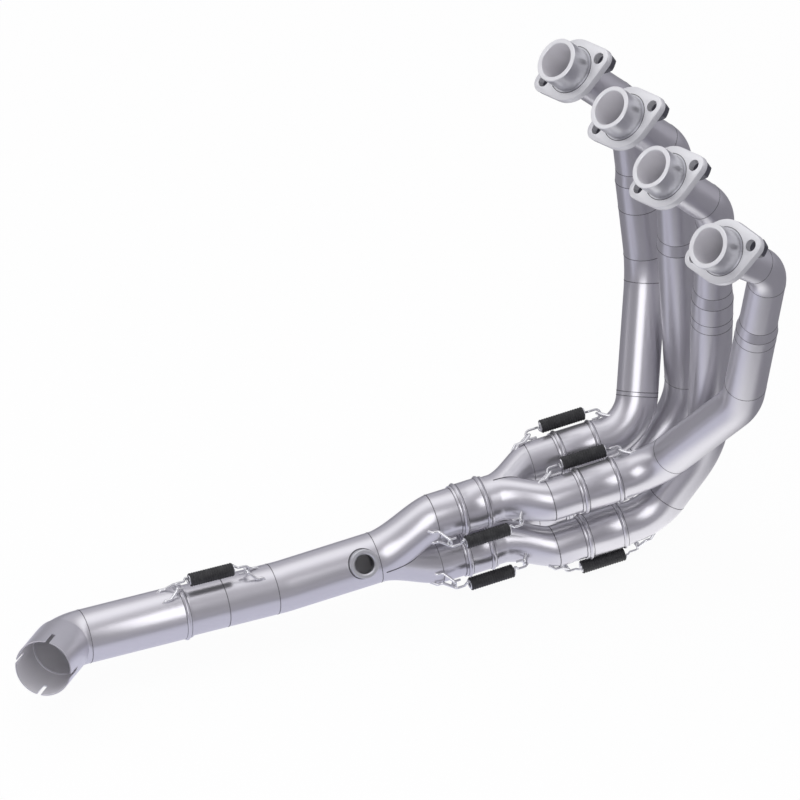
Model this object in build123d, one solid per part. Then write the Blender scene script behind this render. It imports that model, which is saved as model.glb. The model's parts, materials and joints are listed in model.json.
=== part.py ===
from build123d import *
import os
from math import cos, sin, tan, radians, sqrt

# Four into two into one exhaust header with a straight link pipe in place of the catalyst box.
# Millimetres. Origin: centre of the outlet mouth. +X runs forward along the link pipe, +Y to the
# left of the machine, +Z up. Cylinders are numbered from the left, so port 1 has the highest Y.

# Sheet and clearances
WALL = 1.2
SLIP_CLEARANCE = 0.1
RUN_GAP = 0.3

# Outlet socket, elbow and link pipe
LINK_OD = 49.6
SOCKET_BORE = 50.2
SOCKET_LENGTH = 54.0
SOCKET_OVERLAP = 6.0
SLOT_WIDTH = 3.6
SLOT_LENGTH = 21.0
SLOT_COUNT = 4
SLOT_TURN = 3.0
OUTLET_YAW = 51.9
OUTLET_PITCH = 19.7
ELBOW_RADIUS = 33.0
LINK_LENGTH = 98.0
LINK_OVERLAP = 34.0
TAIL_PITCH = 4.6
TAIL_BEND_AT = 191.0
TAIL_BEND_RADIUS = 120.0

# Collectors, as stations along the collector axis from the start of the tail bend
MERGE_AT = 89.0
SECONDARY_AT = 169.0
SECONDARY_SLEEVE = 31.0
SECONDARY_PITCH = 52.0
SECONDARY_OD = 43.5
PRIMARY_AT = 277.0
PRIMARY_SLEEVE = 42.0
PRIMARY_PITCH_Y = 54.0
PRIMARY_PITCH_Z = 57.0
HEADER_OD = 38.1
SLEEVE_OVERLAP = 9.0
MERGE_COLLAR = 4.0
PRIMARY_COLLAR = 9.0
LEG_STUB = 22.0
PRIMARY_STUB = 26.0
SEAT_STEP = 3.0

# Beads at the slip joints
BEAD_HEIGHT = 1.5
BEAD_WIDTH = 4.4

# Header pipes and ports
UPPER_OD = 35.0
CONE_LENGTH = 12.0
PORT_PITCH = 48.5
PORT_YAW = 4.0
SPIGOT_OD = 42.0
SPIGOT_LENGTH = 22.6
COLLAR_OD = 45.4
COLLAR_DEPTH = 4.0
NECK_END = 34.0
LIP_CHAMFER = 0.6

# Each header by cylinder number: side of its slip joint, places of its mouth and knee from the start
# of the link pipe, port yaw and pitch, turn of its flange, and the lengths and bends between them
SEATS = {1: (1, 1), 2: (1, -1), 3: (-1, -1), 4: (-1, 1)}
MOUTHS = {1: (508, 140, 419), 2: (524, 48, 432), 3: (530, -41, 432), 4: (539, -159, 432)}
PORT_TURNS = {1: (PORT_YAW, PORT_PITCH), 2: (PORT_YAW, PORT_PITCH), 3: (PORT_YAW, PORT_PITCH), 4: (16.0, 43.0)}
FLANGE_TURNS = {1: -61.0, 2: -61.0, 3: -61.0, 4: -43.0}
DROPS = {1: 108.0, 2: 95.0, 3: 97.0, 4: 95.0}
KNEES = {1: (585, 110, 173), 2: (599, 42, 62), 3: (594, -24, 70), 4: (599, -94, 173)}
RUN_OUTS = {1: 36.0, 2: 28.0, 3: 28.0, 4: 34.0}
STRAIGHT_OUT = 5.0
JOINT_SHARES = {1: 0.55, 2: 0.62, 3: 0.62, 4: 0.56}
KNEE_RADII = {1: 90.0, 2: 70.0, 3: 90.0, 4: 66.0}
CROWN_RADII = {1: 46.0, 2: 44.0, 3: 44.0, 4: 44.0}

# Port flanges and their nuts
FLANGE_THICK = 7.0
BOLT_SPACING = 62.0
BOLT_HOLE = 11.0
EAR_RADIUS = 10.5
FLANGE_BODY_RADIUS = 30.0
NUT_FLATS = 16.0
NUT_HEIGHT = 8.0
NUT_BORE = 10.0

# Sensor boss
BOSS_OD = 26.6
BOSS_BORE = 18.0
BOSS_STAND = 7.0
BOSS_TURN = 52.0
BOSS_AT = 73.0

# Springs and the wire loops that hold them
SPRING_WIRE = 2.2
SPRING_OD = 9.8
COIL_COUNT = 18
COVER_WALL = 0.9
COVER_RIB = 0.45
HOOK_RADIUS = 4.0
HOOK_TAIL = 5.0
LOOP_WIRE = 2.8
LOOP_WIDTH = 8.0
LOOP_LEG = 5.0
LOOP_FOOT = 5.0
LOOP_SPREAD = 7.5
LOOP_SLOPE = 8.0
LOOP_BENDS = [2.4, 4.0, 2.4]
BODY_LENGTH = 46.0
SHANK = 9.0
LINK_SPRING_SHIFT = 29.0
SECONDARY_SPRING_SHIFT = 2.0
SECONDARY_SPRING_TURN = 190.0
SECONDARY_LIFT = 6.6
LINK_LIFT = 1.9
PRIMARY_SPRING_SHIFT = -5.0
UPPER_SPRING_TURN = 46.6
LOWER_SPRING_TURN = 250.0


def polar(yaw, pitch):
    """Unit vector that points back, to the right by yaw and up by pitch, in degrees."""
    y, p = radians(yaw), radians(pitch)
    return Vector(-cos(p) * cos(y), -cos(p) * sin(y), sin(p))


def ring_plane(origin, direction, side=(0, 0, 1)):
    """Plane across a pipe, with its own x as near to the side vector as it goes."""
    z = Vector(*direction).normalized()
    s = Vector(*side)
    x = (s - z * s.dot(z)).normalized()
    return Plane(origin=origin, x_dir=x, z_dir=z)


def route(points, radii):
    """Wire of straight runs, with an arc of the given radius in each corner."""
    edges = []
    here = points[0]
    for before, corner, after, radius in zip(points, points[1:], points[2:], radii):
        arrive = (corner - before).normalized()
        leave = (after - corner).normalized()
        half = radians(arrive.get_angle(leave)) / 2
        reach = radius * tan(half)
        first, last = corner - arrive * reach, corner + leave * reach
        middle = corner + (leave - arrive).normalized() * (radius / cos(half) - radius)
        if (first - here).length > SLIP_CLEARANCE:
            edges.append(Line(here, first))
        else:
            first = here
        edges.append(ThreePointArc(first, middle, last))
        here = last
    if (points[-1] - here).length > SLIP_CLEARANCE:
        edges.append(Line(here, points[-1]))
    return Wire([edge.edge() for edge in edges])


def swept(points, radii, radius):
    """Round bar along a route of straight runs and tangent arcs."""
    start = (points[1] - points[0]).normalized()
    section = ring_plane(points[0], start, (0.31, 0.87, 0.38)) * Circle(radius)
    return sweep(section, path=route(points, radii))


def pipe(points, radii, outer_diameter, wall=WALL):
    """Bent tube of even wall."""
    return swept(points, radii, outer_diameter / 2) - swept(points, radii, outer_diameter / 2 - wall)


def turned(plane, profile):
    """Ring turned about the plane's normal from (radius, station) corners."""
    face = make_face(Polyline(*[(r, 0, s) for r, s in profile], close=True))
    return plane.location * revolve(face, Axis.Z)


def bead_profile(bore, outer, start, end, beads):
    """Corners of a sleeve wall with round-backed beads at the given stations."""
    corners = [(bore, start), (outer, start)]
    for station in beads:
        low = station - BEAD_WIDTH / 2
        crown = outer + BEAD_HEIGHT
        corners += [(outer, low), (crown - BEAD_HEIGHT / 2, low + BEAD_WIDTH / 8)]
        corners += [(crown, low + BEAD_WIDTH * 0.3), (crown, low + BEAD_WIDTH * 0.7)]
        corners += [(crown - BEAD_HEIGHT / 2, low + BEAD_WIDTH * 7 / 8), (outer, low + BEAD_WIDTH)]
    corners += [(outer, end), (bore, end)]
    return corners


# Where the outlet, the elbow, the link pipe and the collector lie
OUT_DIR = polar(OUTLET_YAW, OUTLET_PITCH)
FORWARD = Vector(1, 0, 0)
TURN = radians((-OUT_DIR).get_angle(FORWARD))
ELBOW_REACH = ELBOW_RADIUS * tan(TURN / 2)
ELBOW_END = OUT_DIR * (-SOCKET_LENGTH)
ELBOW_CORNER = ELBOW_END - OUT_DIR * ELBOW_REACH
LINK_START = ELBOW_CORNER + FORWARD * ELBOW_REACH
COLLECTOR_DIR = Vector(cos(radians(TAIL_PITCH)), 0, sin(radians(TAIL_PITCH)))
COLLECTOR_UP = Vector(-sin(radians(TAIL_PITCH)), 0, cos(radians(TAIL_PITCH)))
LEFT = Vector(0, 1, 0)
TAIL_BEND = LINK_START + FORWARD * TAIL_BEND_AT
TAIL_OD = LINK_OD - 2 * WALL - 2 * SLIP_CLEARANCE


def on_link(station):
    """Point on the link pipe's axis, from the elbow's end."""
    return LINK_START + FORWARD * station


def on_collector(station, left=0.0, up=0.0):
    """Point by the collector's axis, from the tail's bend."""
    return TAIL_BEND + COLLECTOR_DIR * station + LEFT * left + COLLECTOR_UP * up


def at(x, y, z):
    """Point given from the start of the link pipe."""
    return LINK_START + Vector(x, y, z)


# Outlet, elbow and link pipe

def outlet_socket():
    """Outlet socket: a wide, slotted bore for the silencer, stepped down to grip the elbow."""
    bore, grip = SOCKET_BORE / 2, LINK_OD / 2
    step, end = SOCKET_LENGTH - SOCKET_OVERLAP / 2, SOCKET_LENGTH + SOCKET_OVERLAP / 2
    plane = ring_plane((0, 0, 0), -OUT_DIR)
    body = turned(plane, [(bore, 0), (bore + WALL, 0), (bore + WALL, step), (grip + WALL, end),
                          (grip, end), (grip, step), (bore, step)])
    depth = SLOT_LENGTH - SLOT_WIDTH / 2
    for i in range(SLOT_COUNT):
        angle = SLOT_TURN + 360 / SLOT_COUNT * i
        saw = Box(2 * WALL + 4, SLOT_WIDTH, depth + 5, align=(Align.CENTER, Align.CENTER, Align.MIN))
        saw = Pos(bore, 0, -5) * saw
        saw += Pos(bore, 0, depth) * Rot(0, 90, 0) * Cylinder(SLOT_WIDTH / 2, 2 * WALL + 4)
        body -= plane.location * (Rot(0, 0, angle) * saw)
    return body


def outlet_elbow():
    overlap = OUT_DIR * (SOCKET_OVERLAP / 2)
    return pipe([ELBOW_END + overlap, ELBOW_CORNER, LINK_START], [ELBOW_RADIUS], LINK_OD)


def link_tube():
    outer = LINK_OD / 2
    plane = ring_plane(on_link(0), FORWARD)
    return turned(plane, bead_profile(outer - WALL, outer, 0, LINK_LENGTH, [LINK_LENGTH - BEAD_WIDTH]))


# Collectors

def tail_tube():
    points = [on_link(LINK_LENGTH - LINK_OVERLAP), TAIL_BEND, on_collector(MERGE_AT)]
    body = pipe(points, [TAIL_BEND_RADIUS], TAIL_OD)
    drill = boss_plane().location * Cylinder(BOSS_BORE / 2, TAIL_OD)
    return body - drill


def boss_plane():
    """Seat of the sensor boss: on the tail's axis, looking out to the right and up."""
    out = COLLECTOR_UP * sin(radians(90 - BOSS_TURN)) - LEFT * cos(radians(90 - BOSS_TURN))
    return ring_plane(on_collector(BOSS_AT) + out * (TAIL_OD / 2), out, COLLECTOR_DIR)


def sensor_boss():
    plane = boss_plane()
    root = TAIL_OD / 2
    blank = Pos(0, 0, -root / 2) * Cylinder(BOSS_OD / 2, root + 2 * BOSS_STAND)
    blank = chamfer(blank.edges().sort_by(Axis.Z)[-1], LIP_CHAMFER)
    blank -= Cylinder(BOSS_BORE / 2, 4 * root)
    lead = Cone(BOSS_BORE / 2, BOSS_BORE / 2 + 2 * LIP_CHAMFER, 2 * LIP_CHAMFER)
    blank -= Pos(0, 0, BOSS_STAND - LIP_CHAMFER) * lead
    body = plane.location * blank
    run = pipe_core(on_collector(BOSS_AT - BOSS_OD), on_collector(BOSS_AT + BOSS_OD), TAIL_OD / 2)
    return body - run


def pipe_core(start, end, radius):
    """Solid bar between two points."""
    direction = end - start
    blank = Cylinder(radius, direction.length, align=(Align.CENTER, Align.CENTER, Align.MIN))
    return ring_plane(start, direction).location * blank


def oblique(start, start_radius, end, end_radius):
    """Cone between two circles that both face along the collector."""
    low = ring_plane(start, COLLECTOR_DIR) * Circle(start_radius)
    high = ring_plane(end, COLLECTOR_DIR) * Circle(end_radius)
    return loft([low, high])


def merge(inset, start, collar_end, outlet_od, legs, leg_end, leg_od, mouth_end):
    """Solid form of two legs that run together into one outlet, inset from the outer skin."""
    body = pipe_core(start, collar_end, outlet_od / 2 - inset)
    for offset in legs:
        body += oblique(collar_end, outlet_od / 2 - inset, leg_end + offset, leg_od / 2 - inset)
        body += pipe_core(leg_end + offset, mouth_end + offset, leg_od / 2 - inset)
    return body


def secondary_form(inset=0.0):
    legs = [COLLECTOR_UP * (SECONDARY_PITCH / 2), COLLECTOR_UP * (-SECONDARY_PITCH / 2)]
    mouth = SECONDARY_AT + SLEEVE_OVERLAP
    return merge(inset, on_collector(MERGE_AT), on_collector(MERGE_AT + MERGE_COLLAR), TAIL_OD, legs,
                 on_collector(SECONDARY_AT - LEG_STUB), SECONDARY_OD, on_collector(mouth))


def primary_form(side, inset=0.0):
    """Collector of one pair, side +1 above and -1 below."""
    centre = COLLECTOR_UP * (side * SECONDARY_PITCH / 2)
    lift = COLLECTOR_UP * (side * (PRIMARY_PITCH_Z - SECONDARY_PITCH) / 2)
    legs = [lift + LEFT * (PRIMARY_PITCH_Y / 2), lift - LEFT * (PRIMARY_PITCH_Y / 2)]
    start = SECONDARY_AT + SLEEVE_OVERLAP + SEAT_STEP
    collar = SECONDARY_AT + SECONDARY_SLEEVE + PRIMARY_COLLAR
    mouth = PRIMARY_AT + SLEEVE_OVERLAP
    return merge(inset, on_collector(start) + centre, on_collector(collar) + centre, SECONDARY_OD, legs,
                 on_collector(PRIMARY_AT - PRIMARY_STUB) + centre, HEADER_OD, on_collector(mouth) + centre)


def sleeve(centre, tube_od, length):
    """Slip sleeve over two pipe ends, with a bead by each mouth."""
    bore = tube_od / 2 + SLIP_CLEARANCE
    plane = ring_plane(centre, COLLECTOR_DIR)
    return turned(plane, bead_profile(bore, bore + WALL, 0, length, [BEAD_WIDTH, length - BEAD_WIDTH]))


# Header pipes

def seat_offset(number):
    """Offset of a header's slip joint from the collector's axis."""
    side_y, side_z = SEATS[number]
    return LEFT * (side_y * PRIMARY_PITCH_Y / 2) + COLLECTOR_UP * (side_z * PRIMARY_PITCH_Z / 2)


def mouth(number):
    return at(*MOUTHS[number])


def port_dir(number):
    return polar(*PORT_TURNS[number])


def crown(number):
    """Corner where the pipe turns down from its port."""
    return mouth(number) - port_dir(number) * DROPS[number]


def knee(number):
    """Corner where the pipe starts back under the engine."""
    return at(*KNEES[number])


def heel(number):
    """Corner where the pipe lines up with its slip joint."""
    return on_collector(PRIMARY_AT + PRIMARY_SLEEVE + RUN_OUTS[number]) + seat_offset(number)


def joint_point(number):
    """Point where the lower pipe meets the step cone."""
    return knee(number) + (crown(number) - knee(number)) * JOINT_SHARES[number]


def pipe_inset():
    return PRIMARY_AT + SLEEVE_OVERLAP + SEAT_STEP


def heel_radius(number):
    """Bend that starts just past the slip joint's mouth."""
    rise = (knee(number) - heel(number)).normalized()
    half = radians(COLLECTOR_DIR.get_angle(rise)) / 2
    return (RUN_OUTS[number] - STRAIGHT_OUT) / tan(half)


def lower_form(number, inset=0.0):
    start = on_collector(pipe_inset()) + seat_offset(number)
    points = [start, heel(number), knee(number), joint_point(number)]
    return swept(points, [heel_radius(number), KNEE_RADII[number]], HEADER_OD / 2 - inset)


def header_lower(number):
    return lower_form(number) - lower_form(number, WALL)


def step_direction(number):
    return (crown(number) - knee(number)).normalized()


def header_cone(number):
    plane = ring_plane(joint_point(number), step_direction(number))
    low, high = HEADER_OD / 2, UPPER_OD / 2
    return turned(plane, [(low - WALL, 0), (low, 0), (high, CONE_LENGTH), (high - WALL, CONE_LENGTH)])


def header_upper(number):
    start = joint_point(number) + step_direction(number) * CONE_LENGTH
    end = mouth(number) - port_dir(number) * NECK_END
    return pipe([start, crown(number), end], [CROWN_RADII[number]], UPPER_OD)


def port_plane(number):
    """Plane at the spigot's mouth, with its normal along the pipe, away from the engine."""
    out = port_dir(number)
    row = Vector(0, 0, 1).cross(out)
    return Plane(origin=mouth(number), x_dir=row.normalized(), z_dir=-out)


def port_stub(number):
    bore = UPPER_OD / 2 - WALL
    outer = SPIGOT_OD / 2
    profile = [(bore, 0), (outer - LIP_CHAMFER, 0), (outer, LIP_CHAMFER), (outer, SPIGOT_LENGTH),
               (COLLAR_OD / 2, SPIGOT_LENGTH), (COLLAR_OD / 2, SPIGOT_LENGTH + COLLAR_DEPTH),
               (UPPER_OD / 2, SPIGOT_LENGTH + COLLAR_DEPTH), (UPPER_OD / 2, NECK_END), (bore, NECK_END)]
    return turned(port_plane(number), profile)


def bolt_locations(number):
    half = BOLT_SPACING / 2
    turn = FLANGE_TURNS[number]
    return [Rot(0, 0, turn) * Pos(half, 0, 0), Rot(0, 0, turn) * Pos(-half, 0, 0)]


def flange_outline():
    """Two-bolt plate: a round body drawn out in straight flanks to an ear round each bolt."""
    half = BOLT_SPACING / 2
    rims = Circle(FLANGE_BODY_RADIUS).edges()
    rims += (Pos(half, 0) * Circle(EAR_RADIUS)).edges() + (Pos(-half, 0) * Circle(EAR_RADIUS)).edges()
    return make_hull(rims)


def port_flange(number):
    plate = extrude(flange_outline(), FLANGE_THICK)
    plate = chamfer(plate.faces().sort_by(Axis.Z)[-1].edges(), LIP_CHAMFER)
    plate -= Cylinder(UPPER_OD / 2 + RUN_GAP, 4 * FLANGE_THICK)
    recess = Cylinder(COLLAR_OD / 2 + SLIP_CLEARANCE, 2 * COLLAR_DEPTH)
    plate -= recess
    for place in (Pos(BOLT_SPACING / 2, 0, 0), Pos(-BOLT_SPACING / 2, 0, 0)):
        plate -= place * Cylinder(BOLT_HOLE / 2, 4 * FLANGE_THICK)
    turn = Rot(0, 0, FLANGE_TURNS[number])
    return port_plane(number).location * (Pos(0, 0, SPIGOT_LENGTH) * turn * plate)


def flange_nut(number, place):
    nut = extrude(RegularPolygon(NUT_FLATS / 2, 6, major_radius=False), NUT_HEIGHT)
    cone = Cone(NUT_FLATS * 0.5 + NUT_HEIGHT, NUT_FLATS * 0.5, NUT_HEIGHT + 1,
                align=(Align.CENTER, Align.CENTER, Align.MIN))
    nut = nut & cone
    nut -= Cylinder(NUT_BORE / 2, 4 * NUT_HEIGHT)
    seat = Pos(0, 0, SPIGOT_LENGTH + FLANGE_THICK)
    return port_plane(number).location * (seat * place * nut)


def flange_nuts():
    return [flange_nut(n, place) for n in sorted(MOUTHS) for place in bolt_locations(n)]


# Springs

def spring_frame(centre, direction, out):
    """Local frame of a spring: x along the joint, z out from the pipe."""
    return Plane(origin=centre, x_dir=direction, z_dir=out)


def local_points(frame, points):
    return [frame.from_local_coords(Vector(*p)) for p in points]


def spring_lift(pipe_radius):
    """Height of a spring's axis over the pipe's axis."""
    return pipe_radius + WALL + BEAD_HEIGHT + SPRING_OD / 2 + COVER_WALL + COVER_RIB + RUN_GAP


def wire_loop(frame, pipe_radius, lift, station, sense, carrier):
    """Bent wire with two legs welded to the carrier and a nose that the spring's hook pulls on."""
    seat = sqrt((pipe_radius + LOOP_WIRE / 2) ** 2 - LOOP_SPREAD ** 2)
    nose = lift - HOOK_RADIUS
    far = station + sense * (LOOP_SLOPE + LOOP_LEG)
    points = []
    for side in (1, -1):
        leg = [(far + sense * LOOP_FOOT, side * LOOP_SPREAD, seat - LOOP_FOOT),
               (far, side * LOOP_SPREAD, seat),
               (station + sense * LOOP_SLOPE, side * LOOP_SPREAD, seat),
               (station, side * LOOP_WIDTH / 2, nose)]
        points += leg if side == 1 else leg[::-1]
    wire = swept(local_points(frame, points), LOOP_BENDS + LOOP_BENDS[::-1], LOOP_WIRE / 2)
    return (wire - carrier).solids().sort_by(SortBy.VOLUME)[-1]


def hook_pull():
    """Distance from the hook's centre to the loop's wire, on the pulling side."""
    return HOOK_RADIUS - (SPRING_WIRE + LOOP_WIRE) / 2 - SLIP_CLEARANCE


def spring_reach():
    """Half the distance between the two loop wires that a spring joins."""
    return BODY_LENGTH / 2 + SHANK + hook_pull()


def hook(frame, lift, sense):
    centre = sense * (BODY_LENGTH / 2 + SHANK)
    start = Vector(sense * (BODY_LENGTH / 2 - SPRING_WIRE), 0, lift)
    bend = Vector(centre, 0, lift)
    over = Vector(centre + sense * HOOK_RADIUS, 0, lift - HOOK_RADIUS)
    under = Vector(centre, 0, lift - 2 * HOOK_RADIUS)
    tip = Vector(centre - sense * HOOK_TAIL, 0, lift - 2 * HOOK_RADIUS)
    path = Line(start, bend) + ThreePointArc(bend, (centre + sense * HOOK_RADIUS, 0, lift - HOOK_RADIUS), under)
    path += Line(under, tip)
    section = Plane(origin=start, z_dir=(sense, 0, 0)) * Circle(SPRING_WIRE / 2)
    return frame.location * sweep(section, path=path)


def coil_profile(inner, outer, start, pitch, count):
    """Half section of close-wound coils: one round crest for each turn."""
    profile = Line((0, 0, start), (inner, 0, start))
    for i in range(count):
        low = start + pitch * i
        profile += ThreePointArc((inner, 0, low), (outer, 0, low + pitch / 2), (inner, 0, low + pitch))
    end = start + pitch * count
    profile += Line((inner, 0, end), (0, 0, end))
    return profile + Line((0, 0, end), (0, 0, start))


def spring(frame, lift):
    """Close-wound spring with a drawn-out hook at each end."""
    pitch = BODY_LENGTH / (COIL_COUNT + 2)
    outer = SPRING_OD / 2
    face = make_face(coil_profile(outer - SPRING_WIRE / 2, outer, -BODY_LENGTH / 2, pitch, COIL_COUNT + 2))
    core = Pos(0, 0, lift) * Rot(0, 90, 0) * revolve(face, Axis.Z)
    body = frame.location * core
    return body + hook(frame, lift, 1) + hook(frame, lift, -1)


def spring_cover(frame, lift):
    """Ribbed rubber cover over the coils, short of the spring's ends."""
    pitch = BODY_LENGTH / (COIL_COUNT + 2)
    length = BODY_LENGTH - 2 * pitch
    bore = SPRING_OD / 2
    ribs = coil_profile(bore + COVER_WALL, bore + COVER_WALL + COVER_RIB, -length / 2, pitch, COIL_COUNT)
    skin = revolve(make_face(ribs), Axis.Z) - Cylinder(bore, 2 * length)
    return frame.location * (Pos(0, 0, lift) * Rot(0, 90, 0) * skin)


def out_dir(turn, up):
    """Direction square to a joint, turned from the left towards up."""
    return LEFT * cos(radians(turn)) + up * sin(radians(turn))


def joints():
    """Every slip joint: name, frame, radius and solid form of the pipe on each side, extra lift."""
    rows = {}
    bar = pipe_core(on_link(0), on_link(LINK_LENGTH), LINK_OD / 2)
    spigot = pipe_core(on_link(0), on_link(TAIL_BEND_AT), TAIL_OD / 2)
    frame = spring_frame(on_link(LINK_LENGTH - BEAD_WIDTH + LINK_SPRING_SHIFT), FORWARD, Vector(0, 0, 1))
    rows["link"] = (frame, LINK_OD / 2, bar, TAIL_OD / 2, spigot, LINK_LIFT)
    radius = SECONDARY_OD / 2
    for name, side in (("upper", 1), ("lower", -1)):
        middle = SECONDARY_AT + SECONDARY_SLEEVE / 2 + SECONDARY_SPRING_SHIFT
        centre = on_collector(middle, 0, side * SECONDARY_PITCH / 2)
        frame = spring_frame(centre, COLLECTOR_DIR, out_dir(SECONDARY_SPRING_TURN, COLLECTOR_UP))
        rows["secondary_" + name] = (frame, radius, secondary_form(), radius, primary_form(side),
                                     SECONDARY_LIFT)
    radius = HEADER_OD / 2
    for number in sorted(SEATS):
        side = SEATS[number][1]
        middle = PRIMARY_AT + PRIMARY_SLEEVE / 2 + PRIMARY_SPRING_SHIFT
        centre = on_collector(middle) + seat_offset(number)
        turn = UPPER_SPRING_TURN if side > 0 else LOWER_SPRING_TURN
        frame = spring_frame(centre, COLLECTOR_DIR, out_dir(turn, COLLECTOR_UP))
        rows["header_%d" % number] = (frame, radius, primary_form(side), radius, lower_form(number), 0.0)
    return rows


def joint_set(name, frame, rear_radius, rear_form, front_radius, front_form, extra):
    """Spring, cover and the pair of wire loops of one slip joint."""
    lift = spring_lift(max(rear_radius, front_radius)) + extra
    reach = spring_reach()
    loops = [wire_loop(frame, rear_radius, lift, -reach, -1, rear_form),
             wire_loop(frame, front_radius, lift, reach, 1, front_form)]
    return {"spring_" + name: spring(frame, lift), "spring_cover_" + name: spring_cover(frame, lift),
            "spring_loops_" + name: loops}


def all_nodes():
    nodes = {"outlet_socket": outlet_socket(), "outlet_elbow": outlet_elbow(), "link_tube": link_tube(),
             "collector_tail": tail_tube(), "sensor_boss": sensor_boss(),
             "secondary_collector": secondary_form() - secondary_form(WALL),
             "primary_collector_upper": primary_form(1) - primary_form(1, WALL),
             "primary_collector_lower": primary_form(-1) - primary_form(-1, WALL)}
    for name, side in (("upper", 1), ("lower", -1)):
        centre = on_collector(SECONDARY_AT, 0, side * SECONDARY_PITCH / 2)
        nodes["secondary_sleeve_" + name] = sleeve(centre, SECONDARY_OD, SECONDARY_SLEEVE)
    for number in sorted(MOUTHS):
        centre = on_collector(PRIMARY_AT) + seat_offset(number)
        nodes["header_sleeve_%d" % number] = sleeve(centre, HEADER_OD, PRIMARY_SLEEVE)
        nodes["header_lower_%d" % number] = header_lower(number)
        nodes["header_cone_%d" % number] = header_cone(number)
        nodes["header_upper_%d" % number] = header_upper(number)
        nodes["port_stub_%d" % number] = port_stub(number)
        nodes["port_flange_%d" % number] = port_flange(number)
    nodes["flange_nuts"] = flange_nuts()
    for name, row in joints().items():
        nodes.update(joint_set(name, *row))
    return nodes


def write(name, shape):
    solids = shape if isinstance(shape, list) else [shape]
    solids = [s for piece in solids for s in piece.solids()]
    whole = solids[0] if len(solids) == 1 else Compound(children=solids)
    whole.label = name
    export_step(whole, os.path.join("parts", name + ".step"))


if __name__ == "__main__":
    os.makedirs("parts", exist_ok=True)
    for node, shape in all_nodes().items():
        write(node, shape)
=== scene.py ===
"""Studio model of a motorcycle's four-cylinder exhaust header with a straight link pipe."""
import json
import logging
from dataclasses import dataclass, field
from enum import Enum
from math import acos, ceil, cos, pi, radians, sin, sqrt, tan
from typing import Any, Optional, Sequence

import bmesh
import bpy
from mathutils import Matrix, Quaternion, Vector

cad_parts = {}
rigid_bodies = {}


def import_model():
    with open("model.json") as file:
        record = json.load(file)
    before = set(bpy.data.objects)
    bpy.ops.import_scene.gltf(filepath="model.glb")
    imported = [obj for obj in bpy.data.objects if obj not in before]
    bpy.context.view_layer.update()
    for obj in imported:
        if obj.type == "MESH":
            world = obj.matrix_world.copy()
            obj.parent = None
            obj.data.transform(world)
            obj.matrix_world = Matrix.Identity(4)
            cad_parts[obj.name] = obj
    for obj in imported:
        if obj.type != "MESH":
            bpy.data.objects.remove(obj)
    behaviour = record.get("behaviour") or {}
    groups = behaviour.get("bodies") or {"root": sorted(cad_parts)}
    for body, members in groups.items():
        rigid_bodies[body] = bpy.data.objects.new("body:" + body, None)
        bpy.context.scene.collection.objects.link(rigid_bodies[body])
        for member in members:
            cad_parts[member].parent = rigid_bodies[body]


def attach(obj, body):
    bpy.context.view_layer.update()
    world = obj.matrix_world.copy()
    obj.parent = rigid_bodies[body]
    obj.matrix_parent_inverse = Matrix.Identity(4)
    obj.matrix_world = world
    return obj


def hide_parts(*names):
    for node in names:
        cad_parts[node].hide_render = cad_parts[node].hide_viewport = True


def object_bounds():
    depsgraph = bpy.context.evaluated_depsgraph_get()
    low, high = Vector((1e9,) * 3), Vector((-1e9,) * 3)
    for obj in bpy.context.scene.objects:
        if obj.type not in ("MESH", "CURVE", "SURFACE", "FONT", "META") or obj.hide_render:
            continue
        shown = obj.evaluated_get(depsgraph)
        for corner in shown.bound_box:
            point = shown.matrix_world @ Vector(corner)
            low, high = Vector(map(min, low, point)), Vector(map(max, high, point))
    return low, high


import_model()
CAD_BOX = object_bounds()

LOG = logging.getLogger("header")
Path = list[tuple[Vector, Vector]]
Ring = list[Vector]
Profile = list[tuple[float, float]]
Colour = tuple[float, float, float]

MM = 0.001
# Points round a pipe, a turned part, a small hole, a rubber cover, a bent wire and a wound one.
ROUND = 64
FINE_ROUND = 96
HOLE_ROUND = 48
COVER_ROUND = 40
WIRE_ROUND = 14
COIL_ROUND = 10
# Samples in one turn of a spring.
COIL_STEPS = 24
# Turn between two samples of a bend, in degrees, for pipes and for wires.
ARC_STEP = 3.0
WIRE_STEP = 9.0
# Samples of a route that are closer than this, in millimetres, are one.
SAME_POINT = 0.02
# Edges sharper than this stay sharp in the shading.
SHARP = radians(32)
# Side vector that lies along no pipe, so that it can start the rings of any route.
OBLIQUE = Vector((0.31, 0.87, 0.38))
# Widths of a weld bead on a pipe and of one in a corner between two parts, in millimetres.
FINE_BEAD = 1.3
CORNER_BEAD = 2.2
# How far a drill runs past what it cuts, in millimetres.
THROUGH = 20.0
# Stretch of a noise: even, drawn out along the link pipe, and drawn out along the headers.
EVEN = (1.0, 1.0, 1.0)
ALONG_LINK = (0.05, 1.0, 1.0)
ALONG_HEADER = (0.4, 1.0, 0.08)
# Mean value of a noise.
MEAN = 0.5
WHITE = (1.0, 1.0, 1.0)


class Slot(Enum):
    """Material slots of the record."""

    LINK = "link_steel"
    COLLECTOR = "collector_steel"
    HEADER = "header_steel"
    MACHINED = "machined_steel"
    FLANGE = "flange_steel"
    NUT = "nut_steel"
    SPRING = "spring_steel"
    LOOP = "loop_wire"
    COVER = "spring_rubber"


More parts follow.
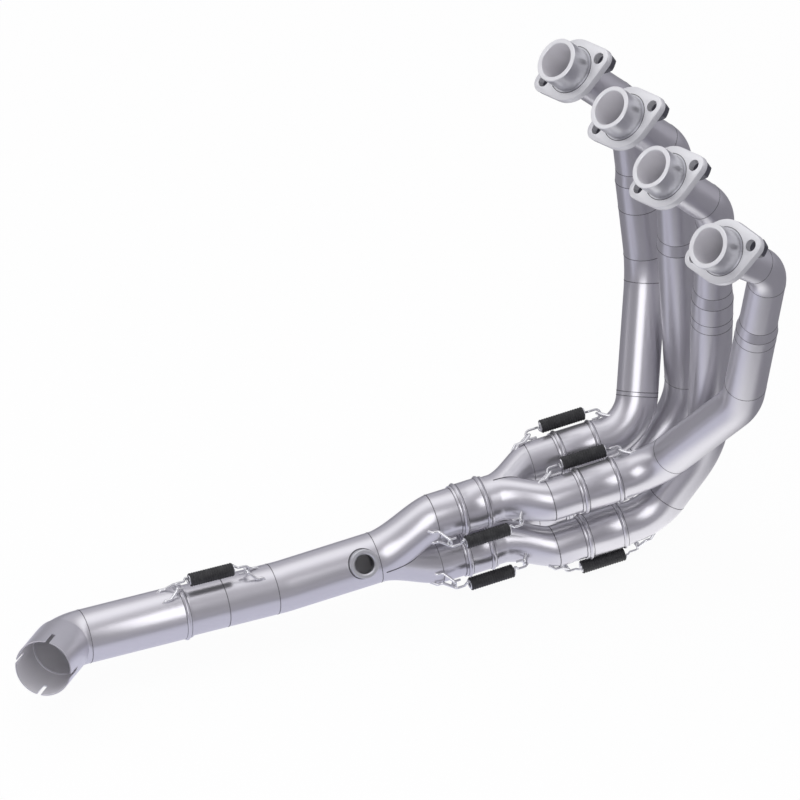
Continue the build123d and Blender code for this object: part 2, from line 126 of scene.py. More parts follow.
class Tree:
    """A node tree with one method that adds any node."""

    def __init__(self, tree: bpy.types.NodeTree) -> None:
        """Wrap a tree and empty it.

        Args:
            tree: The node tree of a material, a world or a modifier.
        """
        self.tree = tree
        tree.nodes.clear()

    def node(self, kind: str, settings: Optional[dict[str, Any]] = None,
             sockets: Optional[dict[Any, Any]] = None, out: Any = 0) -> "Term":
        """Add a node.

        Args:
            kind: The node's type name.
            settings: Properties of the node, which are set first.
            sockets: Values or terms by socket name or number.
            out: Name or number of the output that is wanted.

        Returns:
            The wanted output, wrapped.
        """
        made = self.tree.nodes.new(kind)
        for key, value in (settings or {}).items():
            if key == "stops":
                ramp = made.color_ramp
                while len(ramp.elements) < len(value):
                    ramp.elements.new(1.0)
                for element, (place, colour) in zip(ramp.elements, value):
                    element.position, element.color = place, solid(colour)
            else:
                setattr(made, key, value)
        for key, value in (sockets or {}).items():
            if isinstance(value, Term):
                self.tree.links.new(value.socket, made.inputs[key])
            else:
                made.inputs[key].default_value = value
        socket = made.outputs[out] if len(made.outputs) else None
        return Term(self, socket, made)


class Term:
    """An output socket with the arithmetic of a number."""

    def __init__(self, owner: Tree, socket: Optional[bpy.types.NodeSocket],
                 node: bpy.types.Node) -> None:
        """Wrap a socket.

        Args:
            owner: The tree that the socket is in.
            socket: The output, or None for a node without one.
            node: The node itself.
        """
        self.owner, self.socket, self.node = owner, socket, node

    def other(self, name: str) -> "Term":
        """Another output of the same node, by name."""
        return Term(self.owner, self.node.outputs[name], self.node)

    def _math(self, operation: str, first: Any, second: Any) -> "Term":
        """One Math node on two numbers or terms."""
        return self.owner.node("ShaderNodeMath", {"operation": operation}, {0: first, 1: second})

    def __add__(self, other: Any) -> "Term":
        """self + other."""
        return self._math("ADD", self, other)

    def __radd__(self, other: Any) -> "Term":
        """other + self."""
        return self._math("ADD", other, self)

    def __sub__(self, other: Any) -> "Term":
        """self - other."""
        return self._math("SUBTRACT", self, other)

    def __rsub__(self, other: Any) -> "Term":
        """other - self."""
        return self._math("SUBTRACT", other, self)

    def __mul__(self, other: Any) -> "Term":
        """self * other."""
        return self._math("MULTIPLY", self, other)

    def __rmul__(self, other: Any) -> "Term":
        """other * self."""
        return self._math("MULTIPLY", other, self)

    def at_most(self, other: Any) -> "Term":
        """The smaller of the two."""
        return self._math("MINIMUM", self, other)

    def at_least(self, other: Any) -> "Term":
        """The larger of the two."""
        return self._math("MAXIMUM", self, other)

    def rise(self, start: float, over: float) -> "Term":
        """Share from 0 to 1 that grows from a start over a stretch."""
        return ((self - start) * (1 / over)).at_least(0.0).at_most(1.0)

    def mix(self, low: Any, high: Any) -> "Term":
        """Colour between two colours by this factor.

        Args:
            low: Colour or term at 0.
            high: Colour or term at 1.

        Returns:
            The mixed colour.
        """
        return self.owner.node("ShaderNodeMix", {"data_type": "RGBA"},
                               {0: self, 6: low, 7: high}, 2)


def solid(colour: Colour) -> tuple[float, float, float, float]:
    """A colour with full cover, as a socket takes it."""
    return (*colour, 1.0)


def noise(tree: Tree, scale: float, detail: float, stretch: Sequence[float] = EVEN) -> Term:
    """Noise on the piece's own coordinates.

    Args:
        tree: The material's tree.
        scale: Cells per metre.
        detail: Octaves.
        stretch: Scale along each axis, small where the grain runs long.

    Returns:
        The noise factor.
    """
    place = tree.node("ShaderNodeTexCoord", out="Object")
    place = tree.node("ShaderNodeMapping", {}, {0: place, "Scale": tuple(stretch)})
    return tree.node("ShaderNodeTexNoise", {}, {"Vector": place, "Scale": scale, "Detail": detail})


# Finishes with no slot of their own.
DULL = "dull_bore"
SEAM = "weld_bead"
# Near-black finish for thin rings of painted shade, where a rolled bead meets its pipe and in the
# gap at a collar.
PAINTED_SHADE_LINE = "crease"
# Set apart by this ending, since the frame's own materials bear the slots' plain names.
FINISH = "_finish"


def finish_of(name: str) -> bpy.types.Material:
    """The finish made for a slot or a detail."""
    return bpy.data.materials[name + FINISH]


def new_finish(name: str) -> tuple[bpy.types.Material, Tree]:
    """Start a finish.

    Args:
        name: The slot's or the detail's name.

    Returns:
        The material and its empty tree.
    """
    material = bpy.data.materials.new(name + FINISH)
    material.use_nodes = True
    return material, Tree(material.node_tree)


@dataclass(frozen=True)
class Steel:
    """Bare steel: polished tube, machined rim, plated nut or drawn wire.

    The strokes are a noise drawn out along the polishing, the haze a slow change of gloss.
    """

    name: str
    colour: Colour
    shade: Colour
    roughness: float
    haze: float = 0.03
    haze_scale: float = 26.0
    haze_detail: float = 2.0
    grain: Sequence[float] = EVEN
    grain_scale: float = 900.0
    grain_detail: float = 3.0
    grain_depth: float = 0.05
    grain_height: float = 0.0001
    stroke_tone: float = 0.35
    stroke_gloss: float = 0.8
    metallic: float = 0.82

    def build(self) -> bpy.types.Material:
        """Make the material.

        Returns:
            The finished material.
        """
        material, tree = new_finish(self.name)
        strokes = noise(tree, self.grain_scale, self.grain_detail, self.grain)
        haze = noise(tree, self.haze_scale, self.haze_detail)
        tone = strokes * self.stroke_tone + haze * (1 - self.stroke_tone)
        rough = (strokes - MEAN) * (self.haze * self.stroke_gloss) + (haze - MEAN) * self.haze
        bump = tree.node("ShaderNodeBump", {}, {
            "Height": strokes, "Strength": self.grain_depth, "Distance": self.grain_height})
        shader = tree.node("ShaderNodeBsdfPrincipled", {}, {
            "Base Color": tone.mix(solid(self.shade), solid(self.colour)),
            "Roughness": rough + self.roughness, "Metallic": self.metallic, "Normal": bump})
        tree.node("ShaderNodeOutputMaterial", {}, {0: shader})
        return material


@dataclass(frozen=True)
class Rubber:
    """Matt black rubber with a little dust on it."""

    name: str
    colour: Colour
    dust: Colour
    roughness: float = 0.5
    cloud_scale: float = 160.0
    cloud_detail: float = 4.0
    cloud_from: float = 0.45
    cloud_over: float = 0.5
    pore_scale: float = 2600.0
    pore_detail: float = 2.0
    pore_depth: float = 0.25
    pore_height: float = 0.0001
    pore_gloss: float = 0.15

    def build(self) -> bpy.types.Material:
        """Make the material.

        Returns:
            The finished material.
        """
        material, tree = new_finish(self.name)
        clouds = noise(tree, self.cloud_scale, self.cloud_detail)
        dusty = clouds.rise(self.cloud_from, self.cloud_over)
        pores = noise(tree, self.pore_scale, self.pore_detail)
        bump = tree.node("ShaderNodeBump", {}, {
            "Height": pores, "Strength": self.pore_depth, "Distance": self.pore_height})
        shader = tree.node("ShaderNodeBsdfPrincipled", {}, {
            "Base Color": dusty.mix(solid(self.colour), solid(self.dust)),
            "Roughness": pores * self.pore_gloss + self.roughness, "Normal": bump})
        tree.node("ShaderNodeOutputMaterial", {}, {0: shader})
        return material


FINISHES = [
    Steel(Slot.LINK.value, (0.66, 0.65, 0.69), (0.61, 0.60, 0.64), 0.30, grain=ALONG_LINK),
    Steel(Slot.COLLECTOR.value, (0.65, 0.64, 0.68), (0.60, 0.59, 0.63), 0.30, grain=ALONG_LINK),
    Steel(Slot.HEADER.value, (0.64, 0.63, 0.67), (0.59, 0.58, 0.62), 0.30, grain=ALONG_HEADER),
    Steel(Slot.MACHINED.value, (0.60, 0.60, 0.63), (0.54, 0.54, 0.57), 0.32, grain_depth=0.06),
    Steel(Slot.FLANGE.value, (0.80, 0.80, 0.82), (0.74, 0.74, 0.76), 0.46, grain_depth=0.12,
          metallic=0.6),
    Steel(Slot.NUT.value, (0.16, 0.16, 0.18), (0.10, 0.10, 0.12), 0.36, metallic=0.8),
    Steel(Slot.SPRING.value, (0.74, 0.74, 0.76), (0.60, 0.60, 0.63), 0.24),
    Steel(Slot.LOOP.value, (0.84, 0.84, 0.86), (0.70, 0.70, 0.73), 0.26),
    Steel(DULL, (0.80, 0.79, 0.82), (0.72, 0.71, 0.74), 0.6, metallic=0.1),
    Steel(SEAM, (0.16, 0.155, 0.17), (0.09, 0.09, 0.10), 0.42, metallic=0.6),
    # Near-black painted shade for the thin rings at bead feet and in collar gaps.
    Steel(PAINTED_SHADE_LINE, (0.06, 0.06, 0.07), (0.04, 0.04, 0.045), 0.5, metallic=0.3),
    Rubber(Slot.COVER.value, (0.018, 0.018, 0.02), (0.05, 0.05, 0.052)),
]


@dataclass(frozen=True)
class Place:
    """An origin in millimetres with three square axes."""

    origin: Vector
    x: Vector
    y: Vector
    z: Vector

    def point(self, x: float, y: float, z: float) -> Vector:
        """A local point in the row frame, in millimetres."""
        return self.origin + self.x * x + self.y * y + self.z * z

    def matrix(self) -> Matrix:
        """The place as a matrix on meshes in metres."""
        rows = [[self.x[i], self.y[i], self.z[i], self.origin[i] * MM] for i in range(3)]
        return Matrix(rows + [[0.0, 0.0, 0.0, 1.0]])

    def moved(self, x: float, y: float, z: float) -> "Place":
        """The same axes at another local point."""
        return Place(self.point(x, y, z), self.x, self.y, self.z)

    def turned(self, degrees: float) -> "Place":
        """The same origin, turned about its own z."""
        turn = Quaternion(self.z, radians(degrees))
        return Place(self.origin, turn @ self.x, turn @ self.y, self.z)


def across(origin: Vector, direction: Vector, side: Vector = Vector((0, 0, 1))) -> Place:
    """Place across a pipe.

    Args:
        origin: Point on the pipe's axis.
        direction: Along the pipe, the place's own z.
        side: What the place's own x leans to.

    Returns:
        The place.
    """
    z = direction.normalized()
    x = (side - z * side.dot(z)).normalized()
    return Place(origin.copy(), x, z.cross(x), z)


def polar(yaw: float, pitch: float) -> Vector:
    """Unit vector that points back, to the right by yaw and up by pitch, in degrees."""
    y, p = radians(yaw), radians(pitch)
    return Vector((-cos(p) * cos(y), -cos(p) * sin(y), sin(p)))


def route(points: Sequence[Vector], radii: Sequence[float], step: float = ARC_STEP) -> Path:
    """Straight runs with an arc in each corner.

    Args:
        points: Corners of the route.
        radii: Bend radius of each inner corner.
        step: Largest turn between two samples, in degrees.

    Returns:
        Samples of point and tangent.
    """
    path: Path = [(points[0].copy(), (points[1] - points[0]).normalized())]
    for before, corner, after, radius in zip(points, points[1:], points[2:], radii):
        arrive, leave = (corner - before).normalized(), (after - corner).normalized()
        angle = acos(max(-1.0, min(1.0, arrive.dot(leave))))
        first = corner - arrive * (radius * tan(angle / 2))
        centre = corner + (leave - arrive).normalized() * (radius / cos(angle / 2))
        axis = arrive.cross(leave).normalized()
        count = max(2, ceil(angle / radians(step)))
        for i in range(count + 1):
            turn = Quaternion(axis, angle * i / count)
            path.append((centre + turn @ (first - centre), turn @ arrive))
    path.append((points[-1].copy(), (points[-1] - points[-2]).normalized()))
    kept = path[:1]
    for point, tangent in path[1:]:
        if (point - kept[-1][0]).length > SAME_POINT:
            kept.append((point, tangent))
    return kept


def ring(place: Place, radius: float, count: int, station: float = 0.0) -> Ring:
    """Points of a circle square to a place's z.

    Args:
        place: Centre and axes.
        radius: Radius in millimetres.
        count: Number of points.
        station: Distance along the place's z.

    Returns:
        The points.
    """
    angles = [2 * pi * i / count for i in range(count)]
    return [place.point(radius * cos(angle), radius * sin(angle), station) for angle in angles]


def arc(x: float, y: float, radius: float, start: float, sweep: float, steps: int) -> Profile:
    """Points on a plane arc.

    Args:
        x: Centre across.
        y: Centre up.
        radius: Radius of the arc.
        start: Angle of its first point, in radians.
        sweep: Angle that it covers, in radians.
        steps: Number of steps from its first point to its last.

    Returns:
        The points.
    """
    angles = [start + sweep * i / steps for i in range(steps + 1)]
    return [(x + radius * cos(angle), y + radius * sin(angle)) for angle in angles]


def places_along(path: Path) -> list[Place]:
    """Places along a route, carried on with no twist.

    Args:
        path: Samples of point and tangent.

    Returns:
        One place for each sample.
    """
    made = [across(*path[0], OBLIQUE)]
    for point, tangent in path[1:]:
        last = made[-1]
        turn = last.z.rotation_difference(tangent)
        made.append(Place(point, turn @ last.x, turn @ last.y, turn @ last.z))
    return made


def evaluated_mesh(made: bpy.types.Object) -> bpy.types.Mesh:
    """What an object's modifiers make of it.

    Args:
        made: The object.

    Returns:
        A plain mesh of its own.
    """
    bpy.context.view_layer.update()
    result = made.evaluated_get(bpy.context.evaluated_depsgraph_get())
    return bpy.data.meshes.new_from_object(result)


class Piece:
    """A mesh in the making, with the tools of the workshop."""

    def __init__(self, name: str, mesh: bpy.types.Mesh) -> None:
        """Put a mesh on the bench.

        Args:
            name: The piece's name.
            mesh: Its mesh, in metres and in place.
        """
        self.object = bpy.data.objects.new(name, mesh)
        self.count = 0
        bpy.context.scene.collection.objects.link(self.object)

    @classmethod
    def loft(cls, name: str, rings: Sequence[Ring], hollow: bool) -> "Piece":
        """Skin over rings of equal count.

        Args:
            name: The piece's name.
            rings: Rings of points in millimetres.
            hollow: True to join the last ring to the first, False to cap both.

        Returns:
            The closed piece, faces outward.
        """
        count = len(rings[0])
        faces: list[Sequence[int]] = []
        last = len(rings) if hollow else len(rings) - 1
        for i in range(last):
            a, b = i * count, (i + 1) % len(rings) * count
            faces += [(a + j, a + (j + 1) % count, b + (j + 1) % count, b + j)
                      for j in range(count)]
        if not hollow:
            faces.append(list(range(count))[::-1])
            faces.append([last * count + j for j in range(count)])
        mesh = bpy.data.meshes.new(name)
        mesh.from_pydata([p * MM for r in rings for p in r], [], faces)
        mesh.materials.append(None)
        piece = cls(name, mesh).outward()
        piece.count = count
        return piece

    def outward(self) -> "Piece":
        """Turn a closed skin so that its faces point out.

        Returns:
            The piece.
        """
        work = bmesh.new()
        work.from_mesh(self.object.data)
        if work.calc_volume(signed=True) < 0:
            bmesh.ops.reverse_faces(work, faces=work.faces)
        work.to_mesh(self.object.data)
        work.free()
        return self

    def paint(self, finish: str, first: int, last: int) -> "Piece":
        """Give the skin between two rings a finish of its own.

        Args:
            finish: Name of the finish.
            first: Ring where it starts.
            last: Ring where it ends.

        Returns:
            The piece.
        """
        mesh = self.object.data
        mesh.materials.append(finish_of(finish))
        for polygon in mesh.polygons[first * self.count:last * self.count]:
            polygon.material_index = len(mesh.materials) - 1
        return self

    def settle(self) -> "Piece":
        """Make the modifiers' result the piece's own mesh.

        Returns:
            The piece.
        """
        mesh = evaluated_mesh(self.object)
        self.object.modifiers.clear()
        self.object.data = mesh
        return self

    def combine(self, other: "Piece", operation: str) -> "Piece":
        """One exact boolean with another piece, which is used up.

        Args:
            other: The tool.
            operation: UNION, DIFFERENCE or INTERSECT.

        Returns:
            The piece.
        """
        modifier = self.object.modifiers.new("boolean", "BOOLEAN")
        modifier.operation, modifier.solver, modifier.object = operation, "EXACT", other.object
        self.settle()
        bpy.data.objects.remove(other.object)
        return self

    def cut(self, *others: "Piece") -> "Piece":
        """Take other pieces away from this one.

        Args:
            others: The cutters, which are used up.

        Returns:
            The piece.
        """
        for other in others:
            self.combine(other, "DIFFERENCE")
        return self

    def join(self, *others: "Piece") -> "Piece":
        """Carry other pieces' faces in this mesh, as they are.

        Args:
            others: The pieces to take in, which are used up.

        Returns:
            The piece.
        """
        work = bmesh.new()
        for piece in (self, *others):
            work.from_mesh(piece.object.data)
        work.to_mesh(self.object.data)
        work.free()
        for other in others:
            bpy.data.objects.remove(other.object)
        return self

    def soften(self, width: float, segments: int = 2, angle: float = 50.0) -> "Piece":
        """Round the edges.

        Args:
            width: Bevel width in millimetres.
            segments: Faces across the bevel.
            angle: Smallest edge angle that is rounded, in degrees.

        Returns:
            The piece.
        """
        modifier = self.object.modifiers.new("soften", "BEVEL")
        modifier.width, modifier.segments = width * MM, segments
        modifier.limit_method, modifier.angle_limit = "ANGLE", radians(angle)
        return self.settle()

    def fit(self, slot: Slot, *nodes: str, finish: str = "") -> "Piece":
        """Finish the piece and put it in the CAD frame.

        Args:
            slot: The record's slot whose finish it gets, unless another is named.
            nodes: The CAD nodes that it stands for.
            finish: Name of a finish with no slot of its own.

        Returns:
            The piece.
        """
        mesh = self.object.data
        mesh.materials[0] = finish_of(finish or slot.value)
        mesh.shade_smooth()
        mesh.set_sharp_from_angle(angle=SHARP)
        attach(self.object, "root")
        if nodes:
            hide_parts(*nodes)
        LOG.info("%s: %d faces", self.object.name, len(mesh.polygons))
        return self


def at_station(path: Path, station: float) -> Place:
    """Place across a route, at a distance along it.

    Args:
        path: Samples of point and tangent.
        station: Distance from the route's start, in millimetres.

    Returns:
        The place, at the route's end if it is shorter.
    """
    for (point, tangent), (after, _) in zip(path, path[1:]):
        step = (after - point).length
        if station <= step:
            return across(point.lerp(after, station / step), tangent)
        station -= step
    return across(*path[-1])


def bar(name: str, path: Path, radius: float) -> Piece:
    """Solid round wire along a route."""
    rings = [ring(place, radius, WIRE_ROUND) for place in places_along(path)]
    return Piece.loft(name, rings, False)


def tube(name: str, path: Path, outer: float, wall: float) -> Piece:
    """Bent tube of even wall.

    Args:
        name: The piece's name.
        path: Samples of its axis.
        outer: Outer radius.
        wall: Wall thickness.

    Returns:
        The tube.
    """
    places = places_along(path)
    rings = [ring(place, outer, ROUND) for place in places]
    rings += [ring(place, outer - wall, ROUND) for place in reversed(places)]
    return Piece.loft(name, rings, True).paint(DULL, len(places), 2 * len(places) - 1)


def lathe(name: str, place: Place, profile: Profile, count: int = FINE_ROUND) -> Piece:
    """Ring turned about a place's z.

    Args:
        name: The piece's name.
        place: Its axis.
        profile: Corners as (radius, station).
        count: Points round the ring.

    Returns:
        The ring.
    """
    return Piece.loft(name, [ring(place, r, count, s) for r, s in profile], True)


def spindle(name: str, place: Place, profile: Profile, count: int = FINE_ROUND) -> Piece:
    """Solid turned about a place's z, through corners as (radius, station)."""
    return Piece.loft(name, [ring(place, r, count, s) for r, s in profile], False)


def rod(name: str, place: Place, radius: float, low: float, high: float,
        count: int = FINE_ROUND) -> Piece:
    """Plain cylinder along a place's z, from one station to the other."""
    return spindle(name, place, [(radius, low), (radius, high)], count)


def prism(name: str, place: Place, outline: Profile, low: float, high: float) -> Piece:
    """Flat outline in a place's x and y, drawn out along its z."""
    rings = [[place.point(x, y, s) for x, y in outline] for s in (low, high)]
    return Piece.loft(name, rings, False)


class Repeat:
    """A geometry node tree with named sizes, run once for each part."""

    def __init__(self, name: str, inputs: dict[str, Any]) -> None:
        """Make the group and its interface.

        Args:
            name: The group's name.
            inputs: Default value by input name, a whole number or a length.
        """
        self.group = bpy.data.node_groups.new(name, "GeometryNodeTree")
        self.tree = Tree(self.group)
        self.ids: dict[str, str] = {}
        face = self.group.interface
        face.new_socket("Geometry", in_out="INPUT", socket_type="NodeSocketGeometry")
        for key, value in inputs.items():
            kind = "NodeSocketInt" if isinstance(value, int) else "NodeSocketFloat"
            socket = face.new_socket(key, in_out="INPUT", socket_type=kind)
            socket.default_value = value
            self.ids[key] = socket.identifier
        socket = face.new_socket("Finish", in_out="INPUT", socket_type="NodeSocketMaterial")
        self.ids["Finish"] = socket.identifier
        face.new_socket("Geometry", in_out="OUTPUT", socket_type="NodeSocketGeometry")
        self.start = self.tree.node("NodeGroupInput")

    def size(self, name: str) -> Term:
        """A named input of the group."""
        return self.start.other(name)

    def close(self, geometry: Term) -> None:
        """End the tree with real faces and their material.

        Args:
            geometry: What the tree has made.
        """
        real = self.tree.node("GeometryNodeRealizeInstances", {}, {0: geometry})
        dressed = self.tree.node("GeometryNodeSetMaterial", {},
                                 {"Geometry": real, "Material": self.size("Finish")})
        self.tree.node("NodeGroupOutput", {}, {0: dressed})

    def make(self, name: str, slot: Slot, sizes: dict[str, Any], place: Optional[Place] = None,
             carrier: Optional[bpy.types.Curve] = None) -> Piece:
        """Run the tree and keep the result as a plain mesh.

        Args:
            name: The piece's name.
            slot: Its finish.
            sizes: Value by input name, in metres or whole numbers.
            place: Where the result goes, or None where it is made in place.
            carrier: The curve that the tree follows, or None where it has its own.

        Returns:
            The piece.
        """
        start = carrier or bpy.data.meshes.new("start")
        source = bpy.data.objects.new(name + "_source", start)
        bpy.context.scene.collection.objects.link(source)
        modifier = source.modifiers.new("repeat", "NODES")
        modifier.node_group = self.group
        for key, value in sizes.items():
            modifier[self.ids[key]] = value
        modifier[self.ids["Finish"]] = finish_of(slot.value)
        mesh = evaluated_mesh(source)
        bpy.data.objects.remove(source)
        mesh.materials.clear()
        mesh.materials.append(None)
        mesh.polygons.foreach_set("material_index", [0] * len(mesh.polygons))
        if place:
            mesh.transform(place.matrix())
        return Piece(name, mesh)


def line_through(points: Sequence[Vector], closed: bool) -> bpy.types.Curve:
    """Curve of straight runs.

    Args:
        points: Its corners, in millimetres.
        closed: True to go on from the last corner to the first.

    Returns:
        The curve, in metres.
    """
    curve = bpy.data.curves.new("seam", "CURVE")
    curve.dimensions = "3D"
    spline = curve.splines.new("POLY")
    spline.points.add(len(points) - 1)
    for target, point in zip(spline.points, points):
        target.co = (*(point * MM), 1.0)
    spline.use_cyclic_u = closed
    return curve


def coil_tree() -> Repeat:
    """Round wire wound on a helix along z.

    Returns:
        The tree.
    """
    made = Repeat("coil", {"Turns": 20.0, "Radius": 0.004, "Wire": 0.001, "Length": 0.04})
    tree = made.tree
    helix = tree.node("GeometryNodeCurveSpiral", {}, {
        "Resolution": COIL_STEPS, "Rotations": made.size("Turns"), "Height": made.size("Length"),
        "Start Radius": made.size("Radius"), "End Radius": made.size("Radius")})
    wire = tree.node("GeometryNodeCurvePrimitiveCircle", {}, {
        "Resolution": COIL_ROUND, "Radius": made.size("Wire")})
    made.close(tree.node("GeometryNodeCurveToMesh", {}, {
        "Curve": helix, "Profile Curve": wire, "Fill Caps": True}))
    return made


def rib_tree() -> Repeat:
    """Row of round ribs along z, each one a ring of rubber.

    Returns:
        The tree.
    """
    made = Repeat("ribs", {"Count": 18, "Pitch": 0.0023, "Radius": 0.005, "Thickness": 0.001})
    tree = made.tree
    step = tree.node("ShaderNodeCombineXYZ", {}, {"Z": made.size("Pitch")})
    row = tree.node("GeometryNodeMeshLine", {}, {"Count": made.size("Count"), "Offset": step})
    hoop = tree.node("GeometryNodeCurvePrimitiveCircle", {}, {
        "Resolution": COVER_ROUND, "Radius": made.size("Radius")})
    lip = tree.node("GeometryNodeCurvePrimitiveCircle", {}, {
        "Resolution": COIL_ROUND, "Radius": made.size("Thickness")})
    rib = tree.node("GeometryNodeCurveToMesh", {}, {"Curve": hoop, "Profile Curve": lip})
    made.close(tree.node("GeometryNodeInstanceOnPoints", {}, {"Points": row, "Instance": rib}))
    return made


def seam_tree() -> Repeat:
    """Weld ripples along a curve.

    Returns:
        The tree.
    """
    made = Repeat("weld", {"Ripples": 120, "Radius": 0.001, "Depth": 0.0006})
    tree = made.tree
    spots = tree.node("GeometryNodeCurveToPoints", {"mode": "COUNT"},
                      {"Curve": made.start, "Count": made.size("Ripples")})
    drop = tree.node("GeometryNodeMeshIcoSphere", {}, {"Radius": 1.0, "Subdivisions": 1})
    size = tree.node("ShaderNodeCombineXYZ", {}, {
        "X": made.size("Radius"), "Y": made.size("Radius"), "Z": made.size("Depth")})
    made.close(tree.node("GeometryNodeInstanceOnPoints", {}, {
        "Points": spots, "Instance": drop, "Rotation": spots.other("Rotation"), "Scale": size}))
    return made


@dataclass
class Layout:
    """Axes and stations of the whole system, in millimetres and degrees.

    The outlet's mouth is the origin. The tail's bend is measured along the link pipe from its rear
    end, and the stations of the collectors along their axis from that bend.
    """

    wall: float = 1.2
    slip: float = 0.1
    run_gap: float = 0.3
    link_od: float = 49.6
    link_length: float = 98.0
    socket_bore: float = 50.2
    socket_length: float = 54.0
    elbow_radius: float = 33.0
    outlet_yaw: float = 51.9
    outlet_pitch: float = 19.7
    tail_pitch: float = 4.6
    tail_bend_at: float = 191.0
    merge_at: float = 89.0
    secondary_at: float = 169.0
    secondary_sleeve: float = 31.0
    secondary_pitch: float = 52.0
    secondary_od: float = 43.5
    primary_at: float = 277.0
    primary_sleeve: float = 42.0
    primary_pitch_y: float = 54.0
    primary_pitch_z: float = 57.0
    header_od: float = 38.1
    sleeve_overlap: float = 9.0
    leg_stub: float = 22.0
    primary_stub: float = 26.0
    seat_step: float = 3.0
    bead_height: float = 1.5
    bead_width: float = 4.4
    bead_steps: int = 12
    bead_fullness: float = 0.7
    left: Vector = field(default_factory=lambda: Vector((0, 1, 0)))
    forward: Vector = field(default_factory=lambda: Vector((1, 0, 0)))

    def __post_init__(self) -> None:
        """Work out the axes from the sizes."""
        self.out_dir = polar(self.outlet_yaw, self.outlet_pitch)
        turn = (-self.out_dir).angle(self.forward)
        reach = self.elbow_radius * tan(turn / 2)
        self.elbow_end = self.out_dir * (-self.socket_length)
        self.elbow_corner = self.elbow_end - self.out_dir * reach
        self.link_start = self.elbow_corner + self.forward * reach
        pitch = radians(self.tail_pitch)
        self.along = Vector((cos(pitch), 0, sin(pitch)))
        self.up = Vector((-sin(pitch), 0, cos(pitch)))
        self.tail_bend = self.link_start + self.forward * self.tail_bend_at
        self.tail_od = self.link_od - 2 * self.wall - 2 * self.slip

    def on_link(self, station: float) -> Vector:
        """Point on the link pipe's axis."""
        return self.link_start + self.forward * station

    def on_collector(self, station: float, left: float = 0.0, up: float = 0.0) -> Vector:
        """Point by the collector's axis."""
        return self.tail_bend + self.along * station + self.left * left + self.up * up

    def beads(self, bore: float, outer: float, length: float, crowns: Sequence[float]) -> Profile:
        """Profile of a sleeve with round beads.

        Args:
            bore: Inner radius.
            outer: Outer radius between the beads.
            length: Length of the sleeve.
            crowns: Where the beads' crowns stand.

        Returns:
            Corners as (radius, station).
        """
        corners = [(bore, 0.0), (outer, 0.0)]
        for crown in crowns:
            for i in range(self.bead_steps + 1):
                swell = ((1 - cos(2 * pi * i / self.bead_steps)) / 2) ** self.bead_fullness
                corners.append((outer + self.bead_height * swell,
                                crown + self.bead_width * (i / self.bead_steps - 0.5)))
        return corners + [(outer, length), (bore, length)]

    def bead_feet(self, crowns: Sequence[float]) -> list[float]:
        """Stations where the beads start and end."""
        return [crown + side * self.bead_width / 2 for crown in crowns for side in (-1, 1)]


@dataclass
class Welder:
    """Lays weld seams, and draws dark rings of painted shade where rolled beads start.

    Sizes are in millimetres. The ripples of a seam are a pace apart, and its bead is sunk until it
    stands only a little proud.
    """

    proud: float = 0.3
    pace: float = 0.8
    ripple_length: float = 1.5
    # Width and stand of a ring of painted shade by a bead, in millimetres.
    crease_width: float = 0.45
    crease_stand: float = 0.12

    def __post_init__(self) -> None:
        """Make the tree that all seams share."""
        self.tree = seam_tree()

    def lay(self, name: str, slot: Slot, points: Sequence[Vector], width: float = FINE_BEAD,
            closed: bool = True) -> None:
        """Weld along a line.

        Args:
            name: The seam's name.
            slot: A slot of the record, which the seam is not given; it wears the weld finish.
            points: The line, in millimetres.
            width: Width of the bead.
            closed: True to go on from the last point to the first.
        """
        ends = [*points[1:], points[0]] if closed else points[1:]
        length = sum((b - a).length for a, b in zip(points, ends))
        sizes = {"Ripples": int(length / self.pace), "Radius": width / 2 * MM,
                 "Depth": self.ripple_length / 2 * self.pace * MM}
        seam = self.tree.make(name, slot, sizes, carrier=line_through(points, closed))
        seam.fit(slot, finish=SEAM)

    def hoop(self, name: str, slot: Slot, place: Place, radius: float,
             width: float = FINE_BEAD) -> None:
        """Weld round a pipe, sunk so that the bead stands a little proud."""
        self.lay(name, slot, ring(place, radius + self.proud - width / 2, FINE_ROUND), width)

    def creases(self, name: str, slot: Slot, place: Place, radius: float,
                stations: Sequence[float]) -> None:
        """Dark rings of painted shade round a sleeve, as one piece.

        Args:
            name: The piece's name.
            slot: A slot of the record, which the rings are not given; they wear the painted shade
                finish.
            place: Start of the sleeve, with z along it.
            radius: Outer radius of the sleeve.
            stations: Where the lines run.
        """
        half, out = self.crease_width / 2, self.crease_stand
        made = [lathe(name, place, [(radius - out, s - half), (radius + out, s - half),
                                    (radius + out, s + half), (radius - out, s + half)])
                for s in stations]
        made[0].join(*made[1:]).fit(slot, finish=PAINTED_SHADE_LINE)


